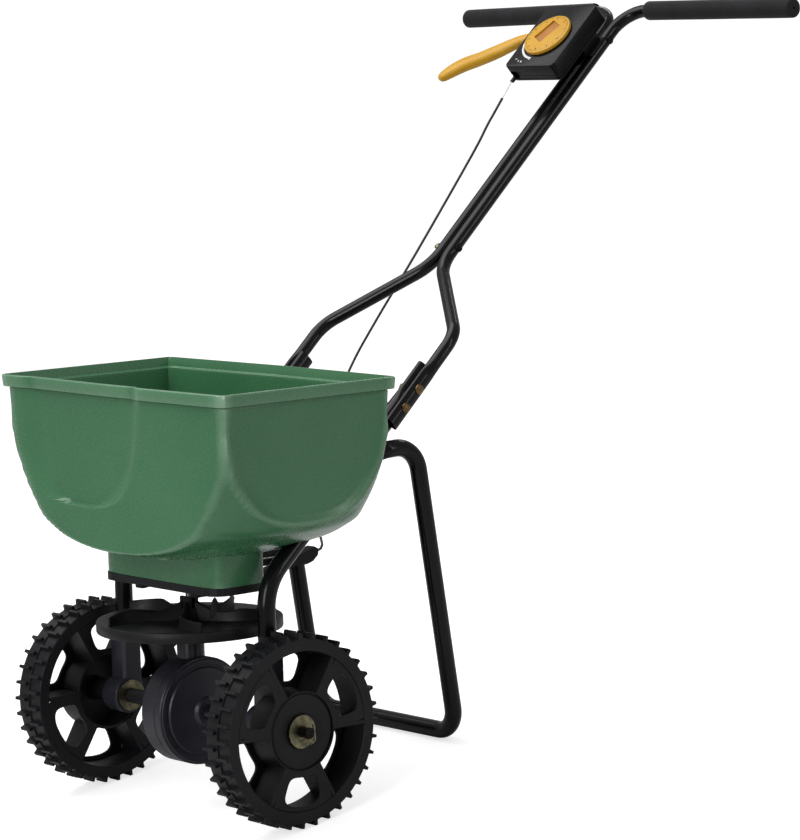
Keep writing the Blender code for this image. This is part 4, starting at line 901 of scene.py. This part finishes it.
# ================================================================ shut-off lever
# A long curved lever, moulded hollow in the same yellow acetal. It swings on a steel pin in the
# box, and its swollen outer end is pulled up towards the grip to open the gate.
LEVER_UP = 0.0525
line = [(0.0165, 0.3662, 0.0050, 0.0040), (0.0100, 0.3640, 0.0062, 0.0042),
        (-0.0200, 0.3535, 0.0062, 0.0045), (-0.0500, 0.3430, 0.0068, 0.0052),
        (-0.0700, 0.3350, 0.0085, 0.0062), (-0.0950, 0.3190, 0.0100, 0.0070),
        (-0.1180, 0.3060, 0.0098, 0.0072), (-0.1400, 0.2960, 0.0105, 0.0072),
        (-0.1550, 0.2850, 0.0098, 0.0068), (-0.1640, 0.2752, 0.0078, 0.0057),
        (-0.1672, 0.2706, 0.0052, 0.0040), (-0.1681, 0.2690, 0.0018, 0.0014)]
spine = smooth_curve([Vector((x, s, 0)) for x, s, _, _ in line], 5)
sizes = smooth_curve([Vector((wide, thick, 0)) for _, _, wide, thick in line], 5)
rings = []
for i, (spot, size) in enumerate(zip(spine, sizes)):
    way = (spine[min(i + 1, len(spine) - 1)] - spine[max(i - 1, 0)]).normalized()
    across = Vector((-way.y, way.x, 0))
    ring = []
    for j in range(28):
        c, t = math.cos(2 * math.pi * j / 28), math.sin(2 * math.pi * j / 28)
        c, t = math.copysign(abs(c) ** 0.8, c), math.copysign(abs(t) ** 0.8, t)
        ring.append(spot + across * size.x * c + Vector((0, 0, LEVER_UP + size.y * t)))
    rings.append(ring)
make("lever_moulding", moved(HANDLE, skin(rings)), "lever", yellow_acetal, 50.0,
     ("lever",))

# ================================================================ floor and light
# A white studio sweep, lit from above by one wide soft box, with two slim boxes at the sides that
# draw the long highlights on the tubes. The floor glows faintly, so only soft shadows show on it.
studio_floor = moulded("studio_floor", "#C8C8C8", "#C4C4C4", 0.75, 0.03, 3.0, 0.0, 400.0,
                       Emission_Color=(1, 1, 1, 1), Specular_IOR_Level=0.1)
seen = add_node(studio_floor, "ShaderNodeLightPath")
glow = add_node(studio_floor, "ShaderNodeMapRange", {}, {
    "Value": seen.outputs["Is Camera Ray"], "To Min": 0.0, "To Max": 0.70})
studio_floor.node_tree.links.new(
    glow.outputs["Result"],
    studio_floor.node_tree.nodes["Principled BSDF"].inputs["Emission Strength"])
floor_mesh = bpy.data.meshes.new("studio_floor")
floor_mesh.from_pydata([(-2.4, -2.4, -0.0005), (2.4, -2.4, -0.0005), (2.4, 2.4, -0.0005),
                        (-2.4, 2.4, -0.0005)], [], [(0, 1, 2, 3)])
floor_mesh.materials.append(studio_floor)
floor = bpy.data.objects.new("studio_floor", floor_mesh)
bpy.context.scene.collection.objects.link(floor)
tent = bpy.data.worlds.new("tent")
tent.use_nodes = True
ray = add_node(tent, "ShaderNodeLightPath")
share = add_node(tent, "ShaderNodeMapRange", {}, {
    "Value": ray.outputs["Is Camera Ray"], "To Min": 0.34, "To Max": 1.05})
tent.node_tree.links.new(share.outputs["Result"],
                         tent.node_tree.nodes["Background"].inputs["Strength"])
tent.node_tree.nodes["Background"].inputs["Color"].default_value = (1, 1, 1, 1)
bpy.context.scene.world = tent
for name, power, wide, tall, spot, aim in (
        ("top_box", 95.0, 3.0, 3.0, (-0.9, -0.6, 3.0), (0, 0, 0.3)),
        ("front_box", 32.0, 1.0, 1.6, (0.9, -2.9, 1.5), (0, -0.1, 0.35)),
        ("side_box", 10.0, 0.3, 2.4, (2.4, 1.1, 1.5), (0, 0.0, 0.40)),
        ("back_box", 12.0, 1.8, 0.4, (-1.2, 2.4, 2.2), (0, 0.1, 0.45))):
    lamp = bpy.data.lights.new(name, 'AREA')
    lamp.energy = power
    lamp.shape = 'RECTANGLE'
    lamp.size, lamp.size_y = wide, tall
    light = bpy.data.objects.new(name, lamp)
    light.location = spot
    light.rotation_euler = (Vector(aim) - Vector(spot)).to_track_quat('-Z', 'Y').to_euler()
    bpy.context.scene.collection.objects.link(light)
bpy.context.scene.view_settings.view_transform = 'Standard'
